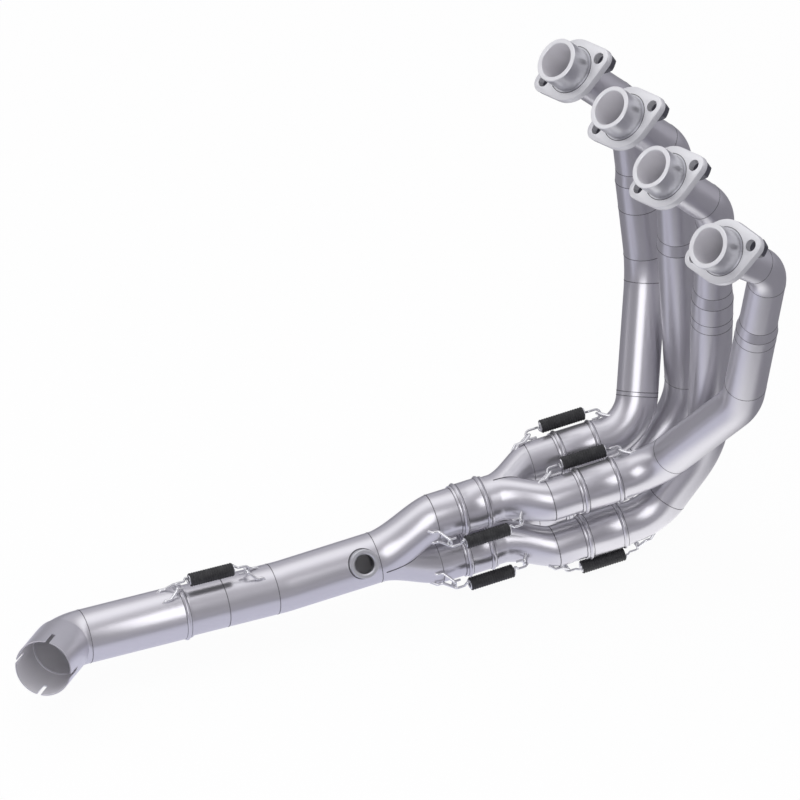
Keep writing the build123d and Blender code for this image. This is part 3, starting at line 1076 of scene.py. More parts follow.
@dataclass
class LinkPipe:
    """Slotted outlet socket, elbow and the straight pipe in place of the catalyst.

    Sizes are in millimetres, and the turn of the first slot is in degrees.
    """

    layout: Layout
    socket_overlap: float = 6.0
    slot_width: float = 3.6
    slot_length: float = 21.0
    slot_count: int = 4
    slot_turn: float = 3.0
    slot_steps: int = 12
    saw_overrun: float = 5.0
    saw_inside: float = 3.0
    saw_outside: float = 4.0
    lip: float = 0.25

    def slot_cutter(self, place: Place, number: int) -> Piece:
        """Round-ended saw slot.

        Args:
            place: The socket's mouth, z into the socket.
            number: Which slot.

        Returns:
            The cutter.
        """
        turned = place.turned(self.slot_turn + 360 / self.slot_count * number)
        half, depth = self.slot_width / 2, self.slot_length - self.slot_width / 2
        outline = [(-half, -self.saw_overrun), (half, -self.saw_overrun)]
        outline += arc(0, depth, half, 0, pi, self.slot_steps)
        bore = self.layout.socket_bore / 2
        saw = Place(turned.origin, turned.y, turned.z, turned.x)
        return prism("saw", saw, outline, bore - self.saw_inside, bore + self.saw_outside)

    def socket(self, mouth: Place, end: float) -> None:
        """Build and fit the outlet socket, with a wide bore for the silencer and a step behind it.

        Args:
            mouth: The socket's mouth, z into the socket.
            end: Length of the socket.
        """
        lay, lip = self.layout, self.lip
        bore, wide = lay.link_od / 2, lay.socket_bore / 2
        foot, skin = bore + lay.wall, wide + lay.wall
        step = end - self.socket_overlap
        profile = [(wide + lip, 0), (skin - lip, 0), (skin, lip), (skin, step), (foot, end - lip),
                   (foot - lip, end), (bore, end), (bore, step), (wide, step), (wide, lip)]
        # From corner 7 to corner 9 run the step and the wide bore.
        made = lathe("outlet_socket_dressed", mouth, profile).paint(DULL, 7, 9)
        made.cut(*[self.slot_cutter(mouth, i) for i in range(self.slot_count)])
        made.fit(Slot.LINK, "outlet_socket")

    def build(self, welder: Welder) -> None:
        """Build and fit the three pieces and their seams.

        Args:
            welder: Lays the seams.
        """
        lay = self.layout
        outer = lay.link_od / 2
        end = lay.socket_length + self.socket_overlap / 2
        self.socket(across(Vector((0, 0, 0)), -lay.out_dir), end)
        start = lay.elbow_end + lay.out_dir * (self.socket_overlap / 2)
        path = route([start, lay.elbow_corner, lay.link_start], [lay.elbow_radius])
        tube("outlet_elbow_dressed", path, outer, lay.wall).fit(Slot.LINK, "outlet_elbow")
        rear = across(lay.on_link(0), lay.forward)
        crown = lay.link_length - lay.bead_width
        profile = lay.beads(outer - lay.wall, outer, lay.link_length, [crown])
        lathe("link_tube_dressed", rear, profile).fit(Slot.LINK, "link_tube")
        # Near-black rings of painted shade where the bead starts and ends.
        welder.creases("crease_link", Slot.LINK, rear, outer, lay.bead_feet([crown]))
        foot = across(-lay.out_dir * (end + welder.proud), lay.out_dir)
        welder.hoop("weld_socket", Slot.LINK, foot, outer + lay.wall / 2, CORNER_BEAD)
        welder.hoop("weld_elbow", Slot.LINK, rear, outer)


@dataclass(frozen=True)
class Fork:
    """Stations and radii of two legs that run together, in millimetres."""

    start: Vector
    collar_end: Vector
    outlet: float
    offsets: tuple[Vector, Vector]
    leg_end: Vector
    leg_radius: float
    mouth: Vector


@dataclass
class Collectors:
    """Tail, two-into-one and the pair of two-into-one collectors with their slip sleeves.

    Sizes are in millimetres. The boss is turned from straight up to the right, in degrees, and the
    tail's seams stand at stations of the link pipe. The ease is the share of a leg's swing that is
    smoothed.
    """

    layout: Layout
    link_overlap: float = 34.0
    tail_bend_radius: float = 120.0
    merge_collar: float = 4.0
    primary_collar: float = 9.0
    boss_od: float = 26.6
    boss_bore: float = 18.0
    boss_stand: float = 7.0
    boss_turn: float = 52.0
    boss_at: float = 73.0
    boss_lip: float = 0.6
    boss_root: float = 6.0
    boss_sink: float = 0.2
    core_reach: float = 30.0
    drill_reach: float = 12.0
    core_overrun: float = 1.0
    tail_step: float = 0.8
    tail_seams: dict[str, float] = field(
        default_factory=lambda: {"tail_rear": 133.0, "tail_front": 181.0})
    ease: float = 0.5
    cone_steps: int = 18
    seam_steps: int = 60

    def swing(self, t: float) -> float:
        """Share of a leg's offset that it has reached, a share t along its cone."""
        return (1 - self.ease) * t + self.ease * t * t * (3 - 2 * t)

    def leg(self, name: str, fork: Fork, offset: Vector, inset: float) -> Piece:
        """Solid form of one leg, from the shared outlet to its own mouth.

        Args:
            name: The form's name.
            fork: The pair that the leg belongs to.
            offset: From the outlet's axis to the leg's.
            inset: Distance in from the outer skin; the inner form runs past both ends.

        Returns:
            The closed form.
        """
        along = self.layout.along
        over = along * (self.core_overrun if inset else 0.0)
        rings = [ring(across(fork.start - over, along), fork.outlet - inset, ROUND)]
        for i in range(self.cone_steps + 1):
            t = i / self.cone_steps
            centre = fork.collar_end.lerp(fork.leg_end, t) + offset * self.swing(t)
            radius = fork.outlet + (fork.leg_radius - fork.outlet) * t - inset
            rings.append(ring(across(centre, along), radius, ROUND))
        mouth = across(fork.mouth + offset + over, along)
        rings.append(ring(mouth, fork.leg_radius - inset, ROUND))
        return Piece.loft(name, rings, False)

    def crotch(self, welder: Welder, name: str, fork: Fork) -> None:
        """Weld along the line where the skins of two legs meet.

        Args:
            welder: Lays the seam.
            name: The seam's name.
            fork: The pair of legs.
        """
        first, second = fork.offsets
        middle, apart = (first + second) / 2, (first - second) / 2
        rise = self.layout.along.cross(apart).normalized()
        lines: tuple[list[Vector], list[Vector]] = ([], [])
        for i in range(self.seam_steps + 1):
            t = i / self.seam_steps
            radius = fork.outlet + (fork.leg_radius - fork.outlet) * t
            high = radius ** 2 - (apart.length * self.swing(t)) ** 2
            if high <= 0:
                break
            centre = fork.collar_end.lerp(fork.leg_end, t) + middle * self.swing(t)
            for line, side in zip(lines, (1, -1)):
                line.append(centre + rise * (side * sqrt(high)))
        welder.lay(name, Slot.COLLECTOR, lines[0] + lines[1][::-1], closed=False)

    def merged(self, welder: Welder, node: str, fork: Fork) -> None:
        """Build and fit two legs that run together, with a wall of even thickness.

        Args:
            welder: Lays the seam between the legs.
            node: The CAD node that it stands for.
            fork: The pair of legs.
        """
        name = node + "_dressed"
        self.crotch(welder, "weld_crotch_" + name, fork)
        skins = [self.leg(name, fork, offset, 0.0) for offset in fork.offsets]
        cores = [self.leg("core", fork, offset, self.layout.wall) for offset in fork.offsets]
        skins[0].combine(skins[1], "UNION").cut(*cores).fit(Slot.COLLECTOR, node)

    def secondary(self) -> Fork:
        """The two-into-one collector by the tail.

        Returns:
            Its pair of legs.
        """
        lay = self.layout
        offset = lay.up * (lay.secondary_pitch / 2)
        return Fork(
            start=lay.on_collector(lay.merge_at),
            collar_end=lay.on_collector(lay.merge_at + self.merge_collar),
            outlet=lay.tail_od / 2, offsets=(offset, -offset),
            leg_end=lay.on_collector(lay.secondary_at - lay.leg_stub),
            leg_radius=lay.secondary_od / 2,
            mouth=lay.on_collector(lay.secondary_at + lay.sleeve_overlap))

    def primary(self, side: int) -> Fork:
        """The collector of one pair of headers.

        Args:
            side: +1 above, -1 below.

        Returns:
            Its pair of legs.
        """
        lay = self.layout
        centre = lay.up * (side * lay.secondary_pitch / 2)
        lift = lay.up * (side * (lay.primary_pitch_z - lay.secondary_pitch) / 2)
        aside = lay.left * (lay.primary_pitch_y / 2)
        rear = lay.secondary_at + lay.sleeve_overlap + lay.seat_step
        collar_end = lay.secondary_at + lay.secondary_sleeve + self.primary_collar
        return Fork(
            start=lay.on_collector(rear) + centre,
            collar_end=lay.on_collector(collar_end) + centre,
            outlet=lay.secondary_od / 2, offsets=(lift + aside, lift - aside),
            leg_end=lay.on_collector(lay.primary_at - lay.primary_stub) + centre,
            leg_radius=lay.header_od / 2,
            mouth=lay.on_collector(lay.primary_at + lay.sleeve_overlap) + centre)

    def boss_place(self) -> Place:
        """Seat of the sensor boss.

        Returns:
            A place on the tail's skin, with z out of the tail.
        """
        lay = self.layout
        lean = radians(90 - self.boss_turn)
        out = lay.up * sin(lean) - lay.left * cos(lean)
        return across(lay.on_collector(self.boss_at) + out * (lay.tail_od / 2), out, lay.along)

    def boss(self, welder: Welder) -> None:
        """Build the sensor boss and the seam at its foot.

        Args:
            welder: Lays the seam.
        """
        lay = self.layout
        place = self.boss_place()
        skin, outer, bore = lay.tail_od / 2, self.boss_od / 2, self.boss_bore / 2
        top, lip = self.boss_stand, self.boss_lip
        profile = [(bore, -self.boss_root), (outer, -self.boss_root), (outer, top - lip),
                   (outer - lip, top), (bore + 2 * lip, top), (bore, top - 2 * lip)]
        body = lathe("sensor_boss_dressed", place, profile)
        axis = across(lay.on_collector(self.boss_at), lay.along)
        core = rod("core", axis, skin - self.boss_sink, -self.core_reach, self.core_reach)
        body.cut(core).fit(Slot.MACHINED, "sensor_boss")
        foot = []
        for i in range(ROUND):
            x, y = outer * cos(2 * pi * i / ROUND), outer * sin(2 * pi * i / ROUND)
            foot.append(place.point(x, y, sqrt(skin ** 2 - y ** 2) - skin))
        welder.lay("weld_boss", Slot.COLLECTOR, foot, CORNER_BEAD)

    def sleeve(self, welder: Welder, node: str, centre: Vector, radius: float,
               length: float) -> None:
        """Build and fit a slip sleeve over two pipe ends.

        Args:
            welder: Lays the lines beside the beads.
            node: The CAD node that it stands for.
            centre: Start of the sleeve on its pipe's axis.
            radius: Outer radius of the pipes.
            length: Length of the sleeve.
        """
        lay = self.layout
        bore = radius + lay.slip
        outer = bore + lay.wall
        crowns = [lay.bead_width, length - lay.bead_width]
        place = across(centre, lay.along)
        made = lathe(node + "_dressed", place, lay.beads(bore, outer, length, crowns))
        made.fit(Slot.COLLECTOR, node)
        # Near-black rings of painted shade where the beads start and end.
        welder.creases("crease_" + node, Slot.COLLECTOR, place, outer, lay.bead_feet(crowns))

    def hoops(self, welder: Welder, name: str, stations: dict[str, float], offset: Vector,
              radius: float) -> None:
        """Weld round one leg at some stations of the collector's axis.

        Args:
            welder: Lays the seams.
            name: Which leg, the end of the seams' names.
            stations: Where the seams run, by their own names.
            offset: From the collector's axis to the leg's.
            radius: Outer radius of the leg.
        """
        lay = self.layout
        for tag, station in stations.items():
            place = across(lay.on_collector(station) + offset, lay.along)
            welder.hoop("weld_%s_%s" % (tag, name), Slot.COLLECTOR, place, radius)

    def build(self, welder: Welder, headers: "HeaderSet") -> None:
        """Build and fit everything between the link pipe and the headers.

        Args:
            welder: Lays the seams.
            headers: Gives the places of the headers' slip joints.
        """
        lay = self.layout
        points = [lay.on_link(lay.link_length - self.link_overlap), lay.tail_bend,
                  lay.on_collector(lay.merge_at)]
        path = route(points, [self.tail_bend_radius], self.tail_step)
        tail = tube("collector_tail_dressed", path, lay.tail_od / 2, lay.wall)
        drill = rod("drill", self.boss_place(), self.boss_bore / 2, -self.drill_reach,
                    self.drill_reach)
        tail.cut(drill).fit(Slot.COLLECTOR, "collector_tail")
        self.boss(welder)
        self.merged(welder, "secondary_collector", self.secondary())
        radius, length = lay.secondary_od / 2, lay.secondary_sleeve
        stations = {"leg": lay.secondary_at - lay.leg_stub, "sleeve": lay.secondary_at}
        for name, side in (("upper", 1), ("lower", -1)):
            self.merged(welder, "primary_collector_" + name, self.primary(side))
            offset = lay.up * (side * lay.secondary_pitch / 2)
            seat = lay.on_collector(lay.secondary_at) + offset
            self.sleeve(welder, "secondary_sleeve_" + name, seat, radius, length)
            self.hoops(welder, name, stations, offset, radius)
        radius, length = lay.header_od / 2, lay.primary_sleeve
        stations = {"branch": lay.primary_at - lay.primary_stub, "slip": lay.primary_at}
        for number, offset in headers.seat_offsets().items():
            seat = lay.on_collector(lay.primary_at) + offset
            self.sleeve(welder, "header_sleeve_%d" % number, seat, radius, length)
            self.hoops(welder, str(number), stations, offset, radius)
        for tag, station in self.tail_seams.items():
            place = across(lay.on_link(station), lay.forward)
            welder.hoop("weld_" + tag, Slot.COLLECTOR, place, lay.tail_od / 2)
        place = across(lay.on_collector(lay.merge_at), lay.along)
        welder.hoop("weld_merge", Slot.COLLECTOR, place, lay.tail_od / 2)


@dataclass(frozen=True)
class Run:
    """The way of one header, in millimetres and degrees.

    The mouth and the knee are measured from the link pipe's rear end. The seat says on which side
    of the collector's axis the slip joint is: 1 to the left or up, -1 to the right or down. The
    drop is the way from the mouth to the crown, where the pipe turns down, and the joint share
    says how far up from the knee to the crown the step cone stands. The run-out is what is
    straight past the slip joint, and the seams are stations of the lower pipe.
    """

    seat: tuple[int, int]
    mouth: tuple[float, float, float]
    port_turn: tuple[float, float]
    flange_turn: float
    drop: float
    crown_radius: float
    joint_share: float
    knee: tuple[float, float, float]
    knee_radius: float
    run_out: float
    seams: tuple[float, ...]


RUNS = {
    1: Run(seat=(1, 1), mouth=(508, 140, 419), port_turn=(4.0, 48.5), flange_turn=-61.0,
           drop=108.0, crown_radius=46.0, joint_share=0.55, knee=(585, 110, 173),
           knee_radius=90.0, run_out=36.0, seams=(93.0, 194.0, 221.0, 271.0)),
    2: Run(seat=(1, -1), mouth=(524, 48, 432), port_turn=(4.0, 48.5), flange_turn=-61.0,
           drop=95.0, crown_radius=44.0, joint_share=0.62, knee=(599, 42, 62),
           knee_radius=70.0, run_out=28.0, seams=(169.5,)),
    3: Run(seat=(-1, -1), mouth=(530, -41, 432), port_turn=(4.0, 48.5), flange_turn=-61.0,
           drop=97.0, crown_radius=44.0, joint_share=0.62, knee=(594, -24, 70),
           knee_radius=90.0, run_out=28.0, seams=(292.0, 302.0)),
    4: Run(seat=(-1, 1), mouth=(539, -159, 432), port_turn=(16.0, 43.0), flange_turn=-43.0,
           drop=95.0, crown_radius=44.0, joint_share=0.56, knee=(599, -94, 173),
           knee_radius=66.0, run_out=34.0, seams=(231.0, 303.7)),
}


@dataclass
class HeaderSet:
    """The four header pipes with their step cones, spigots, flanges and nuts.

    Sizes are in millimetres. What stands on a spigot is measured from the spigot's mouth.
    """

    layout: Layout
    upper_od: float = 35.0
    cone_length: float = 12.0
    spigot_od: float = 42.0
    spigot_length: float = 22.6
    collar_od: float = 45.4
    collar_depth: float = 4.0
    neck_end: float = 34.0
    gap_line: float = 0.6
    lip: float = 0.6
    straight_out: float = 5.0
    flange_thick: float = 7.0
    recess_overrun: float = 5.0
    bolt_spacing: float = 62.0
    bolt_hole: float = 11.0
    ear_radius: float = 10.5
    ear_steps: int = 12
    body_radius: float = 30.0
    body_steps: int = 14
    nut_flats: float = 16.0
    nut_height: float = 8.0
    nut_bore: float = 10.0
    nut_lead: float = 0.8
    nut_slope: float = 2.4
    nut_chamfer: float = 0.4
    nut_overrun: float = 1.0
    cone_over: float = 0.2
    lead_over: float = 0.05

    def seat_offsets(self) -> dict[int, Vector]:
        """Offset of each header's slip joint from the collector's axis.

        Returns:
            The offset by the cylinder's number.
        """
        lay = self.layout
        aside, above = lay.left * (lay.primary_pitch_y / 2), lay.up * (lay.primary_pitch_z / 2)
        return {number: aside * run.seat[0] + above * run.seat[1] for number, run in RUNS.items()}

    def mouth(self, number: int) -> Vector:
        """Centre of a spigot's mouth."""
        return self.layout.link_start + Vector(RUNS[number].mouth)

    def port_dir(self, number: int) -> Vector:
        """Direction out of a port, away from the engine's flange."""
        return polar(*RUNS[number].port_turn)

    def crown(self, number: int) -> Vector:
        """Corner where the pipe turns down from its port."""
        return self.mouth(number) - self.port_dir(number) * RUNS[number].drop

    def knee(self, number: int) -> Vector:
        """Corner where the pipe starts back under the engine."""
        return self.layout.link_start + Vector(RUNS[number].knee)

    def heel(self, number: int) -> Vector:
        """Corner where the pipe leaves the line of its slip joint.

        Args:
            number: The cylinder.

        Returns:
            The corner, in millimetres.
        """
        lay = self.layout
        end = lay.on_collector(lay.primary_at + lay.primary_sleeve + RUNS[number].run_out)
        return end + self.seat_offsets()[number]

    def lower_route(self, number: int) -> Path:
        """The lower pipe's axis, from the slip joint to the step cone.

        Args:
            number: The cylinder.

        Returns:
            Samples of point and tangent.
        """
        lay, run = self.layout, RUNS[number]
        seat = lay.on_collector(lay.primary_at + lay.sleeve_overlap + lay.seat_step)
        heel, knee = self.heel(number), self.knee(number)
        radius = (run.run_out - self.straight_out) / tan(lay.along.angle(knee - heel) / 2)
        points = [seat + self.seat_offsets()[number], heel, knee, self.step_place(number).origin]
        return route(points, [radius, run.knee_radius])

    def step_place(self, number: int) -> Place:
        """Where the lower pipe meets the step cone, with z along the pipe to the port."""
        knee, crown = self.knee(number), self.crown(number)
        return across(knee.lerp(crown, RUNS[number].joint_share), crown - knee)

    def port_place(self, number: int) -> Place:
        """The spigot's mouth.

        Args:
            number: The cylinder.

        Returns:
            A place with z into the pipe and x level.
        """
        out = self.port_dir(number)
        x = Vector((0, 0, 1)).cross(out).normalized()
        return Place(self.mouth(number), x, (-out).cross(x), -out)

    def flange_place(self, number: int, station: float) -> Place:
        """A place on a spigot's axis, turned as its flange is.

        Args:
            number: The cylinder.
            station: Distance from the mouth.

        Returns:
            A place with x from bolt to bolt.
        """
        place = self.port_place(number).moved(0, 0, station)
        return place.turned(RUNS[number].flange_turn)

    def outline(self) -> Profile:
        """Outline of the two-bolt plate: a round body drawn out to an ear round each bolt.

        Returns:
            Corners as (x, y).
        """
        half, ear, body = self.bolt_spacing / 2, self.ear_radius, self.body_radius
        lean = acos((body - ear) / half)
        quarter = arc(half, 0, ear, 0, lean, self.ear_steps)
        quarter += arc(0, 0, body, lean, pi / 2 - lean, self.body_steps)
        upper = quarter + [(-x, y) for x, y in quarter[-2::-1]]
        return upper + [(x, -y) for x, y in upper[-2:0:-1]]

    def flange(self, number: int) -> None:
        """Build and fit one port flange.

        Args:
            number: The cylinder.
        """
        place = self.flange_place(number, self.spigot_length)
        node = "port_flange_%d" % number
        plate = prism(node + "_dressed", place, self.outline(), 0, self.flange_thick)
        bore = self.upper_od / 2 + self.layout.run_gap
        recess = self.collar_od / 2 + self.layout.slip
        holes = [rod("bore", place, bore, -THROUGH, THROUGH),
                 rod("recess", place, recess, -self.recess_overrun, self.collar_depth)]
        for side in (1, -1):
            spot = place.moved(side * self.bolt_spacing / 2, 0, 0)
            holes.append(rod("hole", spot, self.bolt_hole / 2, -THROUGH, THROUGH, HOLE_ROUND))
        plate.soften(self.lip).cut(*holes).fit(Slot.FLANGE, node)

    def nut(self, place: Place) -> Piece:
        """One hexagon nut with chamfered corners and a lead to its thread.

        Args:
            place: Its seat on the flange's back.

        Returns:
            The nut.
        """
        flat, bore = self.nut_flats / 2, self.nut_bore / 2
        top, below = self.nut_height, -self.nut_overrun
        corner = flat / cos(pi / 6)
        outline = [(corner * cos(pi / 3 * i), corner * sin(pi / 3 * i)) for i in range(6)]
        made = prism("nut", place, outline, 0, top)
        cone = [(flat + top * self.nut_slope, below),
                (flat - self.nut_chamfer, top + self.cone_over)]
        thread = [(bore, below), (bore, top - self.nut_lead),
                  (bore + self.nut_lead, top + self.lead_over)]
        made.combine(spindle("cone", place, cone, ROUND), "INTERSECT")
        return made.cut(spindle("thread", place, thread, HOLE_ROUND))

    def nuts(self) -> None:
        """Build and fit the nuts of all four flanges as one piece."""
        made = []
        for number in sorted(RUNS):
            place = self.flange_place(number, self.spigot_length + self.flange_thick)
            for side in (1, -1):
                made.append(self.nut(place.moved(side * self.bolt_spacing / 2, 0, 0)))
        first = made[0].join(*made[1:])
        first.object.name = "flange_nuts_dressed"
        first.fit(Slot.NUT, "flange_nuts")

    def stub(self, number: int) -> None:
        """Build and fit one spigot with its collar and neck.

        Args:
            number: The cylinder.
        """
        outer, collar, neck = self.spigot_od / 2, self.collar_od / 2, self.upper_od / 2
        bore, seat, lip = neck - self.layout.wall, self.spigot_length, self.lip
        back = seat + self.collar_depth
        profile = [(bore, lip), (bore + lip, 0), (outer - lip, 0), (outer, lip), (outer, seat),
                   (collar, seat), (collar, back), (neck, back), (neck, self.neck_end),
                   (bore, self.neck_end)]
        node = "port_stub_%d" % number
        place = self.port_place(number)
        body = lathe(node + "_dressed", place, profile)
        # The rim, up to corner 3, is as pale as the flange, and the bore after corner 9 is dull.
        body.paint(Slot.FLANGE.value, 0, 3).paint(DULL, 9, 10).fit(Slot.MACHINED, node)
        # A thin near-black ring in the collar's gap is painted shade.
        half, rise = self.gap_line / 2, self.gap_line / 4
        gap = [(collar - half, seat - rise), (collar + half, seat - rise),
               (collar + half, seat + rise), (collar - half, seat + rise)]
        lathe("crease_collar_%d" % number, place, gap).fit(Slot.MACHINED, finish=PAINTED_SHADE_LINE)

    def pipes(self, number: int) -> Path:
        """Build and fit the lower pipe, the step cone and the upper pipe of one header.

        Args:
            number: The cylinder.

        Returns:
            Samples of the upper pipe's axis.
        """
        wall, low, high = self.layout.wall, self.layout.header_od / 2, self.upper_od / 2
        node = "header_lower_%d" % number
        tube(node + "_dressed", self.lower_route(number), low, wall).fit(Slot.HEADER, node)
        step, end = self.step_place(number), self.cone_length
        profile = [(low - wall, 0), (low, 0), (high, end), (high - wall, end)]
        node = "header_cone_%d" % number
        lathe(node + "_dressed", step, profile).fit(Slot.HEADER, node)
        neck = self.port_place(number).point(0, 0, self.neck_end)
        points = [step.point(0, 0, end), self.crown(number), neck]
        path = route(points, [RUNS[number].crown_radius])
        node = "header_upper_%d" % number
        tube(node + "_dressed", path, high, wall).fit(Slot.HEADER, node)
        return path

    def seam_places(self, number: int, upper: Path) -> dict[str, tuple[Place, float]]:
        """Where the seams of one header run.

        Args:
            number: The cylinder.
            upper: Samples of the upper pipe's axis.

        Returns:
            The place and the pipe's radius, by the seam's name.
        """
        low, high, run = self.layout.header_od / 2, self.upper_od / 2, RUNS[number]
        step, heel = self.step_place(number), self.heel(number)
        along = (self.knee(number) - heel).normalized()
        bend_end = heel + along * (run.run_out - self.straight_out)
        lower = self.lower_route(number)
        places = {
            "step_low_%d" % number: (step, low),
            "step_high_%d" % number: (step.moved(0, 0, self.cone_length), high),
            "neck_%d" % number: (self.port_place(number).moved(0, 0, self.neck_end), high),
            "crown_low_%d" % number: (across(*upper[1]), high),
            "crown_high_%d" % number: (across(*upper[-2]), high),
            "heel_%d" % number: (across(bend_end, along), low)}
        for station in run.seams:
            places["%d_at_%.0f" % (number, station)] = (at_station(lower, station), low)
        return places

    def build(self, welder: Welder) -> None:
        """Build and fit all four headers.

        Args:
            welder: Lays the seams.
        """
        for number in sorted(RUNS):
            upper = self.pipes(number)
            for name, (place, radius) in self.seam_places(number, upper).items():
                welder.hoop("weld_" + name, Slot.HEADER, place, radius)
            self.stub(number)
            self.flange(number)
        self.nuts()


@dataclass
class SpringSet:
    """Springs with ribbed covers and the wire loops that they pull together.

    Sizes are in millimetres. A shift moves a spring along its joint and a lift moves it off the
    pipes. A turn says where round its joint it lies, in degrees from the left towards up.
    """

    layout: Layout
    wire: float = 2.2
    outer_diameter: float = 9.8
    coils: int = 20
    ribs: int = 18
    cover_wall: float = 0.9
    cover_rib: float = 0.45
    rib_wall_share: float = 0.9
    rib_pitch_share: float = 0.42
    hook_radius: float = 4.0
    hook_tail: float = 5.0
    hook_start: float = 1.6
    hook_centred: float = 4.2
    hook_bends: tuple[float, float] = (1.2, 1.6)
    loop_wire: float = 2.8
    loop_width: float = 8.0
    loop_leg: float = 5.0
    loop_foot: float = 5.0
    loop_spread: float = 7.5
    loop_slope: float = 8.0
    loop_bends: tuple[float, float, float] = (2.4, 4.0, 2.4)
    body_length: float = 46.0
    shank: float = 9.0
    link_shift: float = 29.0
    link_lift: float = 1.9
    secondary_shift: float = 2.0
    secondary_turn: float = 190.0
    secondary_lift: float = 6.6
    primary_shift: float = -5.0
    upper_turn: float = 46.6
    lower_turn: float = 250.0

    def __post_init__(self) -> None:
        """Make the trees that all springs share."""
        self.coil = coil_tree()
        self.rib = rib_tree()

    def bench(self, centre: Vector, direction: Vector, out: Vector) -> Place:
        """Local frame of a spring: x along the joint, z out from the pipe."""
        return Place(centre, direction, out.cross(direction), out)

    def out(self, turn: float) -> Vector:
        """Direction square to a joint, turned from the left towards up."""
        return self.layout.left * cos(radians(turn)) + self.layout.up * sin(radians(turn))

    def lift(self, radius: float, extra: float) -> float:
        """Height of a spring's axis over its pipe's axis.

        Args:
            radius: Outer radius of the pipe.
            extra: Extra height.

        Returns:
            The height, clear of the sleeve's beads.
        """
        lay = self.layout
        skin = self.cover_wall + self.cover_rib + lay.run_gap
        return radius + lay.wall + lay.bead_height + self.outer_diameter / 2 + skin + extra

    def reach(self) -> float:
        """Half the distance between the two loop wires of a joint."""
        pull = self.hook_radius - (self.wire + self.loop_wire) / 2 - self.layout.slip
        return self.body_length / 2 + self.shank + pull

    def loop(self, place: Place, radius: float, lift: float, sense: int) -> Piece:
        """Bent wire loop with its two legs on the pipe.

        Args:
            place: The spring's local frame.
            radius: Outer radius of the pipe that carries it.
            lift: Height of the spring's axis.
            sense: +1 in front, -1 behind.

        Returns:
            The loop.
        """
        seat = sqrt((radius + self.loop_wire / 2) ** 2 - self.loop_spread ** 2)
        station = sense * self.reach()
        far = station + sense * (self.loop_slope + self.loop_leg)
        points: list[Vector] = []
        for side in (1, -1):
            spread = side * self.loop_spread
            leg = [place.point(far + sense * self.loop_foot, spread, seat - self.loop_foot),
                   place.point(far, spread, seat),
                   place.point(station + sense * self.loop_slope, spread, seat),
                   place.point(station, side * self.loop_width / 2, lift - self.hook_radius)]
            points += leg if side == 1 else leg[::-1]
        bends = [*self.loop_bends, *self.loop_bends[::-1]]
        return bar("loop", route(points, bends, WIRE_STEP), self.loop_wire / 2)

    def hook(self, place: Place, lift: float, sense: int) -> Piece:
        """Drawn-out end of the spring: from the last coil to the axis and round the loop.

        Args:
            place: The spring's local frame.
            lift: Height of the spring's axis.
            sense: +1 in front, -1 behind.

        Returns:
            The hook.
        """
        mean = (self.outer_diameter - self.wire) / 2
        end = self.body_length / 2 - self.wire / 2
        centre, r = self.body_length / 2 + self.shank, self.hook_radius
        corners = [(end, mean, 0), (end + self.hook_start, mean, 0),
                   (end + self.hook_centred, 0, 0), (centre + r, 0, 0), (centre + r, 0, -2 * r),
                   (centre - self.hook_tail, 0, -2 * r)]
        points = [place.point(sense * x, y, lift + z) for x, y, z in corners]
        return bar("hook", route(points, [*self.hook_bends, r, r], WIRE_STEP), self.wire / 2)

    def spring(self, name: str, place: Place, lift: float) -> None:
        """Build and fit the wound spring with its two hooks.

        Args:
            name: The joint's name.
            place: The spring's local frame.
            lift: Height of the spring's axis.
        """
        wound = self.body_length - self.wire
        axis = Place(place.point(-wound / 2, 0, lift), place.y, place.z, place.x)
        sizes = {"Turns": float(self.coils), "Radius": (self.outer_diameter - self.wire) / 2 * MM,
                 "Wire": self.wire / 2 * MM, "Length": wound * MM}
        coil = self.coil.make("spring_%s_dressed" % name, Slot.SPRING, sizes, axis)
        coil.join(self.hook(place, lift, 1), self.hook(place, lift, -1))
        coil.fit(Slot.SPRING, "spring_" + name)

    def cover(self, name: str, place: Place, lift: float) -> None:
        """Build and fit the ribbed rubber cover.

        Args:
            name: The joint's name.
            place: The spring's local frame.
            lift: Height of the spring's axis.
        """
        pitch = self.body_length / self.coils
        length = self.body_length - 2 * pitch
        bore, outer = self.outer_diameter / 2, self.outer_diameter / 2 + self.cover_wall
        axis = Place(place.point(-length / 2, 0, lift), place.y, place.z, place.x)
        profile = [(bore, 0), (outer, 0), (outer, length), (bore, length)]
        sleeve = lathe("spring_cover_%s_dressed" % name, axis, profile, COVER_ROUND)
        rib = min(self.cover_wall * self.rib_wall_share, pitch * self.rib_pitch_share)
        sizes = {"Count": self.ribs, "Pitch": pitch * MM, "Thickness": rib * MM,
                 "Radius": (outer + self.cover_rib - rib) * MM}
        sleeve.join(self.rib.make("ribs", Slot.COVER, sizes, axis.moved(0, 0, pitch / 2)))
        sleeve.fit(Slot.COVER, "spring_cover_" + name)

    def joint(self, name: str, place: Place, rear: float, front: float, extra: float) -> None:
        """Build and fit the spring, cover and loops of one joint.

        Args:
            name: The joint's name.
            place: The spring's local frame.
            rear: Radius of the pipe behind.
            front: Radius of the pipe in front.
            extra: Extra height of the spring.
        """
        lift = self.lift(max(rear, front), extra)
        self.spring(name, place, lift)
        self.cover(name, place, lift)
        loops = self.loop(place, rear, lift, -1).join(self.loop(place, front, lift, 1))
        loops.object.name = "spring_loops_%s_dressed" % name
        loops.fit(Slot.LOOP, "spring_loops_" + name)
        LOG.info("joint %s: spring of %.0f mm at %.1f mm", name, self.body_length, lift)

